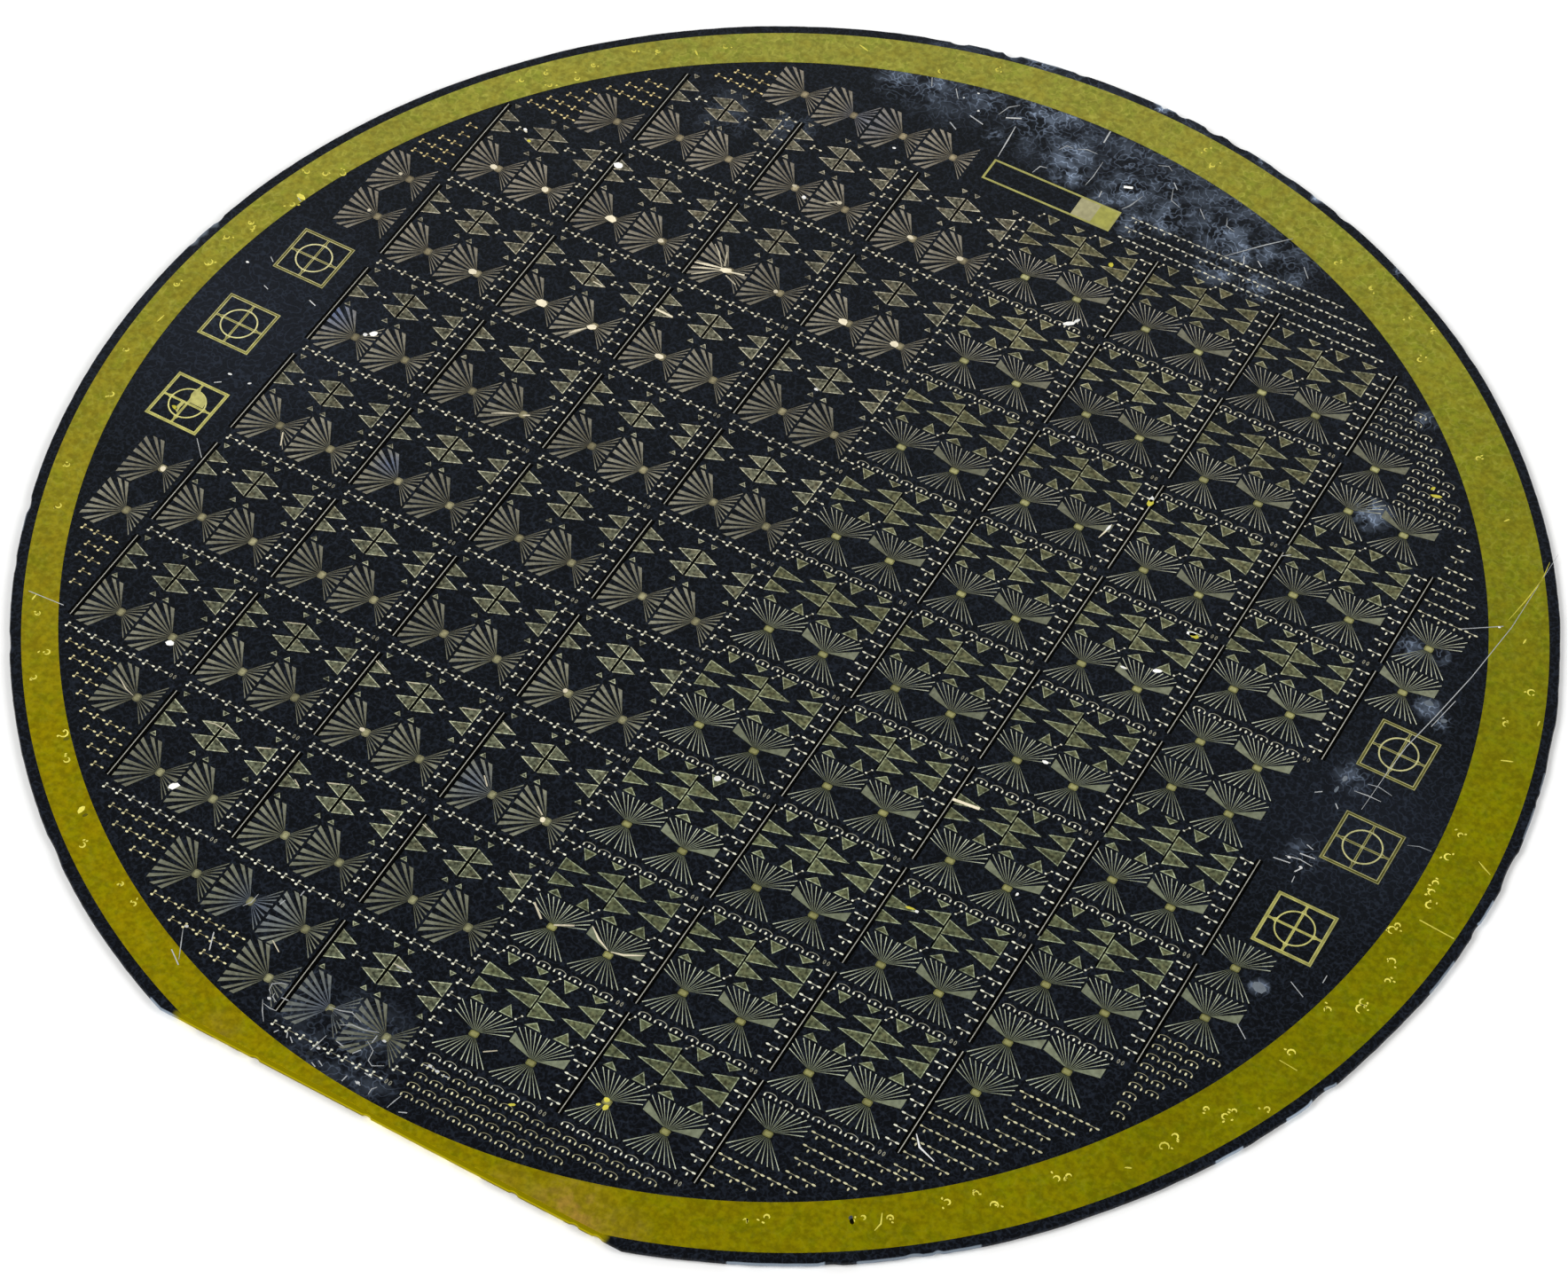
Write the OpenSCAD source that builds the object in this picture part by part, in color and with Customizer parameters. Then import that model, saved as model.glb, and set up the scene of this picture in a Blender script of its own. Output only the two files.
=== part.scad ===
// A 100 mm silicon wafer that lies on its back face, with a patterned metal film on its top face.
// The origin is the wafer's centre on the back face. +Z is up, and the primary flat is on the -Y side.
// The film was printed through one mask, so all of its pattern is placed from the mask's centre.

/* [Wafer] */
// Diameter of the wafer
wafer_d = 100; // [96:0.5:125]
// Thickness of the wafer
wafer_t = 0.525; // [0.3:0.025:0.9]
// Length of the primary flat
flat_len = 32.5; // [25:0.5:36]
// Width of the ground bevel along the edge
bevel_w = 0.3; // [0.1:0.05:0.5]
// Height of the blunt nose between the two bevels
nose_h = 0.2; // [0.1:0.05:0.25]

/* [Edge damage] */
// Radius of the hollow that a common chip leaves
chip_r = 1.5; // [0.8:0.1:2.5]
// How far a common chip bites into the rim
chip_depth = 0.2; // [0.1:0.05:0.3]
// How far a chip's wall leans, so that it bites deeper at the top
chip_lean = 25; // [0:1:30]
// Radius of a nick in the flat
nick_r = 0.4; // [0.2:0.05:0.8]
// How far a nick bites into the flat
nick_depth = 0.1; // [0.05:0.01:0.14]

/* [Rim film] */
// Thickness of the film, which on the real wafer is less than a thousandth of a millimetre
film_t = 0.02; // [0.01:0.005:0.05]
// Bare silicon between the bevel and the film, round the rim
rim_bare = 0.5; // [0.45:0.05:1]
// Bare silicon between the bevel and the film, along the flat
flat_bare = 0.05; // [0.05:0.05:0.4]
// Width of the plain film ring
rim_film_w = 3.1; // [2.6:0.1:6]
// Least width of the film ring along the flat
flat_film_w = 0.6; // [0.3:0.05:2]
// How far the mask landed to the right of the wafer's centre
mask_x = -0.78; // [-1:0.01:1]
// How far the mask landed above the wafer's centre
mask_y = -0.22; // [-1:0.01:1]
// Gap between the left and the right field of dies
field_gap = 0.13; // [0.1:0.01:1]
// Where that gap lies, to the right of the mask's centre
field_x = -0.15; // [-3:0.01:3]

/* [Left dies] */
// Height of the middle row of left dies above the mask's centre, at their lower edge
left_row_y = -7.94; // [-10:0.01:-5]
// Width of the streets between columns of left dies
left_street_x = 0.55; // [0.4:0.01:3]
// Height of the streets between rows of left dies
left_street_y = 1.13; // [0.9:0.01:3]
// Length of a left fan's wide side, from the hub
left_fan_len = 2.52; // [1.8:0.01:3]
// Length of a left fan's slim side, from the hub
left_fan_back = 1.3; // [0.8:0.01:1.8]
// Height of a left fan's wide end
left_fan_h = 3.9; // [2.5:0.1:5]
// Gap between a left die's two fans
left_fan_gap = 0.18; // [0.1:0.01:0.5]
// Length of a left spike, from its base to its tip
left_spike_len = 1.37; // [0.8:0.01:1.7]
// Width of a left spike's base
left_spike_base = 1.13; // [0.6:0.01:1.5]
// Gap between the bases of neighbouring left spikes
left_spike_gap = 0.07; // [0.06:0.01:0.4]
// Gap between a left die's fans and its spikes
left_spike_rise = 0.88; // [0.5:0.01:1.5]
// Room above a left die's spikes
left_head_room = 0.75; // [0.4:0.01:1.5]

/* [Right dies] */
// Width of the streets between columns of right dies
right_street_x = 0.48; // [0.4:0.01:3]
// Height of the streets between rows of right dies
right_street_y = 0.9; // [0.8:0.01:3]
// Width of a right fan across its wide ends
right_fan_w = 3.86; // [2.5:0.01:5]
// Reach of a right fan above and below its hub
right_fan_len = 1.93; // [1.4:0.01:2.5]
// Height of the upright sides of a right fan's upper block
right_fan_side = 1; // [0.5:0.01:1.3]
// Gap between a right die's two fans
right_fan_gap = 0.14; // [0.1:0.01:0.5]
// Length of a long right spike, from its base to its tip
long_spike_len = 1.99; // [1.2:0.01:2.1]
// Length of a short right spike
short_spike_len = 1.62; // [1:0.01:1.7]
// Width of a right spike's base
right_spike_base = 1.04; // [0.6:0.01:1.5]
// Gap between the bases of neighbouring right spikes
right_spike_gap = 0.16; // [0.06:0.01:0.4]
// Gap between a right die's fans and its spikes
right_spike_rise = 0.7; // [0.5:0.01:1.5]
// Room above a right die's spikes
right_head_room = 0.51; // [0.4:0.01:1.5]

/* [Rows and lines] */
// Half the width of a fan's waist at its hub
fan_waist = 0.34; // [0.2:0.01:0.5]
// Width of a scribe line
scribe_w = 0.11; // [0.05:0.01:0.2]
// Distance from a scribe line to the side of its dies
scribe_gap = 0.27; // [0.2:0.01:0.35]
// How far the scribe lines and the upright rows stop short of a die's ends
end_margin = 0.2; // [0.1:0.01:0.4]
// Width of a row of three-dot devices
dot_row_w = 0.34; // [0.2:0.01:0.5]
// Width of a row of tee devices
tee_row_w = 0.4; // [0.2:0.01:0.6]
// Width of a row of arches
arch_row_w = 0.36; // [0.2:0.01:0.5]

/* [Marks] */
// Side of an alignment mark's square frame
mark_side = 4.06; // [3:0.02:4.5]
// Width of the frame's line
mark_line = 0.25; // [0.15:0.01:0.4]
// Width of the cross's bars
cross_w = 0.22; // [0.1:0.01:0.4]
// Distance from one mark of a side to the next
mark_pitch = 7.52; // [5.5:0.02:9]
// Distance from the film ring's inner edge to the middle mark's centre
mark_inset = 4.06; // [3.6:0.02:5]
// How much further in the end marks stand
mark_end_step = 1.03; // [0.8:0.01:2]
// Length of the label box
label_w = 10; // [6:0.1:12]
// Height of the label box
label_h = 2.05; // [1.5:0.05:2.4]
// Width of the label box's line
label_line = 0.2; // [0.1:0.01:0.4]
// Length of the filled block in the label box
block_w = 2.94; // [1:0.02:5]
// Distance from the film ring's inner edge down to the label box's centre
label_inset = 7.6; // [6.5:0.1:9]

/* [Hidden] */
wafer_r = wafer_d / 2;
flat_y = -sqrt(wafer_r * wafer_r - flat_len * flat_len / 4);
film_r = wafer_r - bevel_w - rim_bare;
film_flat_y = flat_y + bevel_w + flat_bare;
window_r = film_r - rim_film_w;
window_flat_y = film_flat_y + flat_film_w - mask_y;   // from the mask's centre, as all of the pattern is
over = 1;                   // how far a cutter runs past what it cuts
clearance = 0.05;           // least gap between two islands of film
film_edge_fn = 180;
fewest_devices = 4;         // a shorter edge row is left out

// Chips round the rim, by angle from +X and size next to a common chip.
rim_chips = [
    [105.8, 0.8], [101.3, 1.2], [86, 0.7], [83, 0.9], [80.6, 0.8], [69.5, 0.6], [3.3, 0.9], [-20.4, 1],
    [-156.3, 0.6]];
// Nicks in the flat, left and right of its middle.
flat_nicks = [-9.3, 8.9, 13];

// What a left die holds, measured from its lower left corner.
left_half = left_fan_len + left_fan_back + left_fan_gap;
left_hub = [left_fan_len, left_fan_h / 2];
left_fan_shoulder = 1.32;   // flat top of the wide side
left_fan_slim_h = 0.92 * left_fan_h;
left_spike_row = left_spike_base + left_spike_gap;
left_spike_y = left_fan_h + left_spike_rise + left_spike_base / 2;
left_facing_gap = 0.11;     // between one half's last base and the next half's first
left_column_w = 0.82;       // room for the column of three-dot devices
left_column_x = 2 * left_half + left_column_w / 2 - clearance / 5;
left_die_w = 2 * left_half + left_column_w;
left_die_h = left_spike_y + left_spike_row + left_spike_base / 2 + left_head_room;
left_column_ends = [end_margin, left_die_h - end_margin];
left_scribe_x = -scribe_gap;

// What a right die holds, measured from its lower left corner.
right_half = right_fan_w + right_fan_gap;
right_hub = [right_fan_w / 2, right_fan_len];
right_spike_row = right_spike_base + right_spike_gap;
right_spike_y = 2 * right_fan_len + right_spike_rise + right_spike_base / 2;
right_spike_stagger = 0.53; // the spikes that point left stand higher by this
right_facing_gap = 0.13;
right_column_w = 0.82;      // room for the column of tee devices
right_column_x = 2 * right_half + right_column_w / 2 + clearance;
right_die_w = 2 * right_half + right_column_w;
right_die_h = right_spike_y + right_spike_stagger + right_spike_row + right_spike_base / 2
    + right_head_room;
right_column_ends = [end_margin / 2, right_die_h - end_margin];
right_scribe_x = right_die_w + scribe_gap;

// The lanes of right dies: the column, the height of one die above the mask's centre, and whether the lane
// runs down from it, up from it or both ways.
right_lane_columns = [0, 1, 2, 3, 3];
right_lane_heights = [2.67, 2.67, 1.65, 4.75, -12.03];
right_lane_down = [true, true, true, false, true];
right_lane_up = [true, true, true, true, false];

// Lone fans between the dies and the film ring, in rows: hub of the first, and how many.
left_edge_fans = [
    [-19.8, 38.12, 4], [-29.87, 29.07, 1], [-39.4, 17, 1], [-39.4, 12.95, 1], [-39.2, -12.92, 1],
    [-39.2, -16.98, 1], [-29.82, -28.98, 1], [-18.96, -38.02, 3], [-10.92, -42.02, 1]];
right_edge_fans = [
    [29.86, 27.62, 1], [29.86, 23.52, 2], [29.76, 1.96, 2], [29.76, -2.08, 2], [29.68, -23.58, 2],
    [29.68, -27.58, 1], [39.18, 15.92, 1], [39.18, 11.92, 1], [39.14, -12.02, 1], [39.12, -16.08, 1],
    [20.43, -36.18, 1]];

// Rows of devices between the dies and the film ring. A pocket starts at an inner end and runs outwards:
// inner end, height of its first row, number of rows.
dot_pockets = [
    [-22.5, 38.62, 3], [-28.5, 33.62, 3], [-32.6, 30.62, 4], [-38.1, 23.52, 5], [-38.2, -19.48, 5],
    [-32.6, -27.48, 4], [-28.6, -31.48, 4], [-21.8, -36.48, 3], [-13.8, -40.48, 3]];
tee_pockets = [
    [5.6, 39.47, 3], [18.8, 36.42, 1], [37.25, 24.52, 7], [31.85, -26.13, 4], [27.8, -30.13, 5],
    [22.55, -34.73, 4], [18.55, -38.73, 3]];
arch_pockets = [[27.9, 34.82, 7], [32, 29.57, 6], [37.2, -18.63, 9], [0.25, -42.43, 4]];
// Pitch along the row, pitch between rows, row width, how far a device stands from the row's inner end to its
// far side, the height that it needs towards the ring and the part of a pitch that stays free at the outer end.
dot_rows = [1, 1, dot_row_w, 0.75, 0.6, 0.45];
tee_rows = [1.1, 1.02, tee_row_w, 0.85, 0.5, 0.7];
arch_rows = [1.1, 0.76, arch_row_w, 0.95, 0.4, 0.8];

mark_mid_x = window_r - mark_inset;
mark_end_x = mark_mid_x - mark_end_step;
mark_centres = [for (side = [-1, 1]) for (row = [-1 : 1])
    [side * (row == 0 ? mark_mid_x : mark_end_x), row * mark_pitch]];
label_centre = [-0.18, window_r - label_inset];

// A box is [left, right, bottom, top].
function box_round(c, w, h) = [c[0] - w / 2, c[0] + w / 2, c[1] - h / 2, c[1] + h / 2];
function box_above(c, w, h) = [c[0], c[0] + w, c[1], c[1] + h];
function in_window(b) =
    norm([max(abs(b[0]), abs(b[1])), max(abs(b[2]), abs(b[3]))]) <= window_r - clearance
    && b[2] >= window_flat_y + clearance;
function apart(a, b) = a[1] + clearance <= b[0] || b[1] + clearance <= a[0]
    || a[3] + clearance <= b[2] || b[3] + clearance <= a[2];
function clear_of(b, others) = len([for (o = others) if (!apart(b, o)) o]) == 0;
kept_free = concat([for (c = mark_centres) box_round(c, mark_side, mark_side)],
    [box_round(label_centre, label_w, label_h)]);
function fits(b, others) = in_window(b) && clear_of(b, others);

// A die stands wherever its whole box lies in the window, clear of the marks and the label box. Each column or
// lane is a list of the dies' lower left corners.
left_pitch = [left_die_w + left_street_x, left_die_h + left_street_y];
right_pitch = [right_die_w + right_street_x, right_die_h + right_street_y];
left_field_x = field_x - field_gap / 2 - left_die_w;
right_field_x = field_x + field_gap / 2;
rows_out = ceil(wafer_r / min(left_pitch[1], right_pitch[1]));
left_columns = [for (column = [0 : floor(wafer_r / left_pitch[0])]) [for (row = [-rows_out : rows_out])
    let (at = [left_field_x - column * left_pitch[0], left_row_y + row * left_pitch[1]])
    if (fits(box_above(at, left_die_w, left_die_h), kept_free)) at]];
right_lanes = [for (i = [0 : len(right_lane_columns) - 1])
    [for (row = [right_lane_down[i] ? -rows_out : 0 : right_lane_up[i] ? rows_out : 0])
        let (at = [right_field_x + right_lane_columns[i] * right_pitch[0],
            right_lane_heights[i] + row * right_pitch[1]])
        if (fits(box_above(at, right_die_w, right_die_h), kept_free)) at]];
left_dies = [for (column = left_columns) each column];
right_dies = [for (lane = right_lanes) each lane];
die_boxes = concat([for (at = left_dies) box_above(at, left_die_w, left_die_h)],
    [for (at = right_dies) box_above(at, right_die_w, right_die_h)]);

// A lone fan stands where it lies in the window and clears the dies, the marks and the label box.
taken = concat(die_boxes, kept_free);
function left_fan_box(hub) = box_above(hub - left_hub, left_half - left_fan_gap, left_fan_h);
function right_fan_box(hub) = box_above(hub - right_hub, right_fan_w, 2 * right_fan_len);
left_lone_fans = [for (row = left_edge_fans) for (i = [0 : row[2] - 1])
    let (hub = [row[0] + i * left_half, row[1]]) if (fits(left_fan_box(hub), taken)) hub];
right_lone_fans = [for (row = right_edge_fans) for (i = [0 : row[2] - 1])
    let (hub = [row[0] + i * right_half, row[1]]) if (fits(right_fan_box(hub), taken)) hub];
all_taken = concat(taken, [for (hub = left_lone_fans) left_fan_box(hub)],
    [for (hub = right_lone_fans) right_fan_box(hub)]);

// An edge row holds as many devices as fit between its inner end and the film ring.
function reach_at(y) = sqrt(max(0, window_r * window_r - y * y));
function devices(end_x, y, kind) =
    floor((reach_at(abs(y) + kind[4]) - abs(end_x) - kind[3] / 2) / kind[0] + 1 - kind[5]);
function edge_row_box(end_x, y, kind) =
    let (outer = end_x + sign(end_x) * (kind[3] + (devices(end_x, y, kind) - 1) * kind[0]))
    [min(end_x, outer), max(end_x, outer), y - kind[2] / 2, y + kind[2] / 2];
function edge_rows(pockets, kind) = [for (p = pockets) for (i = [0 : p[2] - 1])
    let (y = p[1] - i * kind[1], box = edge_row_box(p[0], y, kind))
    if (devices(p[0], y, kind) >= fewest_devices && fits(box, all_taken)) box];

// A film island lies on the polished top face, placed from the mask's centre.
module film() translate([mask_x, mask_y, wafer_t]) linear_extrude(film_t) children();

module bar(b) translate([b[0], b[2]]) square([b[1] - b[0], b[3] - b[2]]);

// The ground edge: a blunt nose between two bevels, as half of the wafer's section.
module edge_section() polygon([
    [0, 0], [wafer_r - bevel_w, 0], [wafer_r, (wafer_t - nose_h) / 2], [wafer_r, (wafer_t + nose_h) / 2],
    [wafer_r - bevel_w, wafer_t], [0, wafer_t]]);

// What is ground off to make the flat, which has the same nose and bevels.
module flat_cut() rotate([90, 0, 90]) linear_extrude(wafer_d, center = true) polygon([
    [flat_y + bevel_w, -over], [flat_y + bevel_w, 0], [flat_y, (wafer_t - nose_h) / 2],
    [flat_y, (wafer_t + nose_h) / 2], [flat_y + bevel_w, wafer_t], [flat_y + bevel_w, wafer_t + over],
    [-wafer_r - over, wafer_t + over], [-wafer_r - over, -over]]);

module rim_chip(angle, size) rotate(angle)
    translate([wafer_r + size * (chip_r - chip_depth), 0, wafer_t / 2]) rotate([0, -chip_lean, 0])
        cylinder(r = size * chip_r, h = wafer_t + 4 * over, center = true, $fn = 32);

module flat_nick(x) translate([x, flat_y - nick_r + nick_depth, -over])
    cylinder(r = nick_r, h = wafer_t + 2 * over, $fn = 24);

module silicon_wafer() color("#23252f") difference() {
    rotate_extrude($fn = film_edge_fn) edge_section();
    flat_cut();
    for (chip = rim_chips) rim_chip(chip[0], chip[1]);
    for (x = flat_nicks) flat_nick(x);
}

module rim_film() color("#8a7c33") translate([0, 0, wafer_t]) linear_extrude(film_t) difference() {
    intersection() {
        circle(r = film_r, $fn = film_edge_fn);
        translate([-wafer_r, film_flat_y]) square([wafer_d, wafer_d]);
    }
    translate([mask_x, mask_y]) intersection() {
        circle(r = window_r, $fn = film_edge_fn);
        translate([-wafer_r, window_flat_y]) square([wafer_d, wafer_d]);
    }
}

// A spike points to the right for side 1 and to the left for side -1.
module spike(side, base, length, rise = 0) polygon([[0, -base / 2], [0, base / 2], [side * length, rise]]);

// A left fan lies on its side: a wide block of rays to the left of the hub and a slim one to the right.
module left_fan() polygon([
    [-left_fan_len, -left_fan_h / 2], [left_fan_shoulder - left_fan_len, -left_fan_h / 2], [0, -fan_waist],
    [left_fan_back, -left_fan_slim_h / 2], [left_fan_back, left_fan_slim_h / 2], [0, fan_waist],
    [left_fan_shoulder - left_fan_len, left_fan_h / 2], [-left_fan_len, left_fan_h / 2]]);

// A right fan stands upright: a block of rays above the hub and a plain fan below it.
module right_fan() polygon([
    [-right_fan_w / 2, right_fan_len - right_fan_side], [-fan_waist, 0], [-right_fan_w / 2, -right_fan_len],
    [right_fan_w / 2, -right_fan_len], [fan_waist, 0], [right_fan_w / 2, right_fan_len - right_fan_side],
    [right_fan_w / 2, right_fan_len], [-right_fan_w / 2, right_fan_len]]);

module left_die() for (half = [0, 1]) translate([half * left_half, 0]) {
    translate(left_hub) left_fan();
    for (row = [0, 1]) translate([0, left_spike_y + row * left_spike_row]) {
        spike(1, left_spike_base, left_spike_len);
        translate([left_half - left_facing_gap, 0]) spike(-1, left_spike_base, left_spike_len);
    }
}

// The spikes mesh like a zip: the ones that point left stand higher and dip a little towards their tips.
module right_die() for (half = [0, 1]) translate([half * right_half, 0]) {
    translate(right_hub) right_fan();
    for (row = [0, 1]) translate([0, right_spike_y + row * right_spike_row]) {
        spike(1, right_spike_base, row == 1 ? long_spike_len : short_spike_len, 0.03);
        translate([right_half - right_facing_gap, right_spike_stagger])
            spike(-1, right_spike_base, row == 1 ? short_spike_len : long_spike_len, -0.1);
    }
}

// The upright strip of devices, or the scribe line, that a run of dies shares.
module strip(x, width, ends, dies) if (len(dies) > 0) bar([dies[0][0] + x - width / 2,
    dies[0][0] + x + width / 2, dies[0][1] + ends[0], dies[len(dies) - 1][1] + ends[1]]);

module left_die_film() color("#7a6a3c") film() {
    for (at = left_dies) translate(at) left_die();
    for (dies = left_columns) strip(left_column_x, dot_row_w, left_column_ends, dies);
}

module right_die_film() color("#6f7040") film() {
    for (at = right_dies) translate(at) right_die();
    for (dies = right_lanes) strip(right_column_x, tee_row_w, right_column_ends, dies);
}

module edge_die_film() color("#7c6f3c") film() {
    for (hub = left_lone_fans) translate(hub) left_fan();
    for (hub = right_lone_fans) translate(hub) right_fan();
    for (box = edge_rows(dot_pockets, dot_rows)) bar(box);
    for (box = edge_rows(tee_pockets, tee_rows)) bar(box);
    for (box = edge_rows(arch_pockets, arch_rows)) bar(box);
}

module scribe_lines() color("#a59b6a") film() {
    for (dies = left_columns) strip(left_scribe_x, scribe_w, left_column_ends, dies);
    for (dies = right_lanes) strip(right_scribe_x, scribe_w, right_column_ends, dies);
}

// A cross in a square frame.
module alignment_mark() {
    difference() {
        square(mark_side, center = true);
        square(mark_side - 2 * mark_line, center = true);
    }
    square([mark_side - mark_line, cross_w], center = true);
    square([cross_w, mark_side - mark_line], center = true);
}

module alignment_marks() color("#b3a049") film() for (c = mark_centres) translate(c) alignment_mark();

// The box that a wafer's number goes in: an empty window and a filled block, with nothing written.
module label_box() color("#b3a049") film() translate(label_centre) difference() {
    square([label_w, label_h], center = true);
    translate([label_line - label_w / 2, label_line - label_h / 2])
        square([label_w - block_w - label_line, label_h - 2 * label_line]);
}

silicon_wafer();
rim_film();
left_die_film();
right_die_film();
edge_die_film();
scribe_lines();
alignment_marks();
label_box();
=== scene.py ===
import math
import random

import bmesh
import bpy
from mathutils import Matrix, Vector, noise


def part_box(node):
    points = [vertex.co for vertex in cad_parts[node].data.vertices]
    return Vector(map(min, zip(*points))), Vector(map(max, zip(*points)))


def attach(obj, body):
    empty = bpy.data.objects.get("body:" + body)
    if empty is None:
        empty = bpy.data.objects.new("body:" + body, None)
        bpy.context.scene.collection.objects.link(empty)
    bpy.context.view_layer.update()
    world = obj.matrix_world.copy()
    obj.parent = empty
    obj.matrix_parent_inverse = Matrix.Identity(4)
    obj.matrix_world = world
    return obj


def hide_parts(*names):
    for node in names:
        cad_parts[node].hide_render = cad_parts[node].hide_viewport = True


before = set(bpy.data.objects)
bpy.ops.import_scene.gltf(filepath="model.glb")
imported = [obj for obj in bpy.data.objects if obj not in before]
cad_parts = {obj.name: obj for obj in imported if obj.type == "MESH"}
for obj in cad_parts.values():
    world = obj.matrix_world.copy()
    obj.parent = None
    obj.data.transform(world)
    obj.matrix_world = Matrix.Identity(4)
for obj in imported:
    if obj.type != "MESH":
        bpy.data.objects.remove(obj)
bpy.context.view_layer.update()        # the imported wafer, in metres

mm = 0.001
print("frame loaded")


# small tools

def hexColour(code, alpha=1.0):
    channels = [int(code[i:i + 2], 16) / 255 for i in (1, 3, 5)]
    linear = [c / 12.92 if c <= 0.04045 else ((c + 0.055) / 1.055) ** 2.4 for c in channels]
    return (*linear, alpha)


# A dictionary fills inputs by name, a tuple fills the open ones in their order.
# A node given as a value stands for its first open output.
def addNode(tree, kind, settings=None, inputs=()):
    node = tree.nodes.new(kind)
    for key, value in (settings or {}).items():
        setattr(node, key, value)
    if isinstance(inputs, dict):
        filled = [(node.inputs[key], value) for key, value in inputs.items()]
    else:
        filled = zip([socket for socket in node.inputs if socket.enabled], inputs)
    for socket, value in filled:
        if isinstance(value, bpy.types.Node):
            value = next(output for output in value.outputs if output.enabled)
        if isinstance(value, bpy.types.NodeSocket):
            tree.links.new(value, socket)
        else:
            socket.default_value = value
    return node


plus, minus, times = ({"operation": name} for name in ("ADD", "SUBTRACT", "MULTIPLY"))
largest = {"operation": "MAXIMUM"}


def newShape():
    return {"points": [], "faces": [], "shine": []}


def addPrism(shape, outline, low, high, shine):     # outline runs anticlockwise, in mm
    start, count = len(shape["points"]), len(outline)
    shape["points"] += [(x, y, z) for z in (low, high) for x, y in outline]
    shape["faces"].append([start + i for i in reversed(range(count))])
    shape["faces"].append([start + count + i for i in range(count)])
    for i in range(count):
        j = (i + 1) % count
        shape["faces"].append([start + i, start + j, start + count + j, start + count + i])
    shape["shine"] += [shine] * (2 * count)


def addFrame(shape, outer, inner, low, high, shine):    # a closed band between two outlines
    start, count = len(shape["points"]), len(outer)
    for outline, z in ((outer, low), (outer, high), (inner, low), (inner, high)):
        shape["points"] += [(x, y, z) for x, y in outline]
    for i in range(count):
        j = (i + 1) % count
        for first, second in ((0, 1), (1, 3), (3, 2), (2, 0)):      # outer wall, top, inner wall, base
            a, b = start + first * count, start + second * count
            shape["faces"].append([a + i, a + j, b + j, b + i])
    shape["shine"] += [shine] * (4 * count)


def box(left, right, bottom, top):
    return [(left, bottom), (right, bottom), (right, top), (left, top)]


def onEllipse(centre, width, height, angle):        # angle in radians
    return centre[0] + width / 2 * math.cos(angle), centre[1] + height / 2 * math.sin(angle)


def oval(centre, width, height, corners=8):
    return [onEllipse(centre, width, height, 2 * math.pi * (i + 0.5) / corners) for i in range(corners)]


def polar(distance, angle):                 # angle in degrees
    return distance * math.cos(math.radians(angle)), distance * math.sin(math.radians(angle))


def insetOutline(outline, distance):        # a convex anticlockwise outline, moved inwards
    moved, count = [], len(outline)
    for i in range(count):
        before, here, after = (Vector(outline[(i + k) % count]) for k in (-1, 0, 1))
        toHere, toAfter = (here - before).normalized(), (after - here).normalized()
        inward = Vector((-toHere.y - toAfter.y, toHere.x + toAfter.x)).normalized()
        lean = inward.dot(Vector((-toHere.y, toHere.x)))
        moved.append(tuple(here + inward * distance / lean))
    return moved


stroke = {"endShare": 0.35, "curlTurn": 230, "curlParts": 6, "fleckCorners": 7, "ragged": (0.72, 1.1)}


def addStroke(shape, line, width, low, high, shine):    # a flat streak along a line, slim at both ends
    left, right, count = [], [], len(line)
    for i, here in enumerate(line):
        before, after = Vector(line[max(0, i - 1)]), Vector(line[min(count - 1, i + 1)])
        ahead = (after - before).normalized()
        swell = (1 - stroke["endShare"]) * math.sin(math.pi * i / (count - 1))
        share = stroke["endShare"] + swell if count > 2 else 1
        aside = Vector((-ahead.y, ahead.x)) * (width / 2 * share)
        left.append(tuple(Vector(here) + aside))
        right.append(tuple(Vector(here) - aside))
    for i in range(count - 1):
        addPrism(shape, [right[i], right[i + 1], left[i + 1], left[i]], low, high, shine)


def addCurl(shape, centre, size, turn, low, high, shine):   # a small open loop, like a comma
    parts = stroke["curlParts"]
    line = [onEllipse(centre, size[0], size[0], math.radians(turn + stroke["curlTurn"] * i / parts))
            for i in range(parts + 1)]
    addStroke(shape, line, size[1], low, high, shine)


def addFleck(shape, centre, size, turn, low, high, shine, rng):     # a crumb with ragged corners
    lean, corners = math.radians(turn), []
    for i in range(stroke["fleckCorners"]):
        angle = 2 * math.pi * i / stroke["fleckCorners"]
        reach = 0.5 * rng.uniform(*stroke["ragged"])
        x, y = size[0] * reach * math.cos(angle), size[1] * reach * math.sin(angle)
        corners.append((centre[0] + x * math.cos(lean) - y * math.sin(lean),
                        centre[1] + x * math.sin(lean) + y * math.cos(lean)))
    addPrism(shape, corners, low, high, shine)


def shapeMesh(name, shape):
    mesh = bpy.data.meshes.new(name)
    mesh.from_pydata([(x * mm, y * mm, z * mm) for x, y, z in shape["points"]], [], shape["faces"])
    shine = mesh.attributes.new("shine", "FLOAT", "POINT")
    shine.data.foreach_set("value", shape["shine"])
    mesh.update()
    return mesh


def addObject(name, data):
    thing = bpy.data.objects.new(name, data)
    bpy.context.scene.collection.objects.link(thing)
    return thing


def finishPiece(name, mesh, node):
    piece = addObject(name, mesh)
    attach(piece, "root")
    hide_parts(node)


# camera, lamps and floor

# places in mm, angles in degrees
viewFrom = {"aim": (6.154, -2.506, 0.525), "azimuth": 27.892, "elevation": 53.373, "roll": 2.018,
            "distance": 263.33, "lens": 94.4, "sensor": 36, "shift": (-0.0434, 0.0015), "clip": (0.01, 20)}


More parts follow.
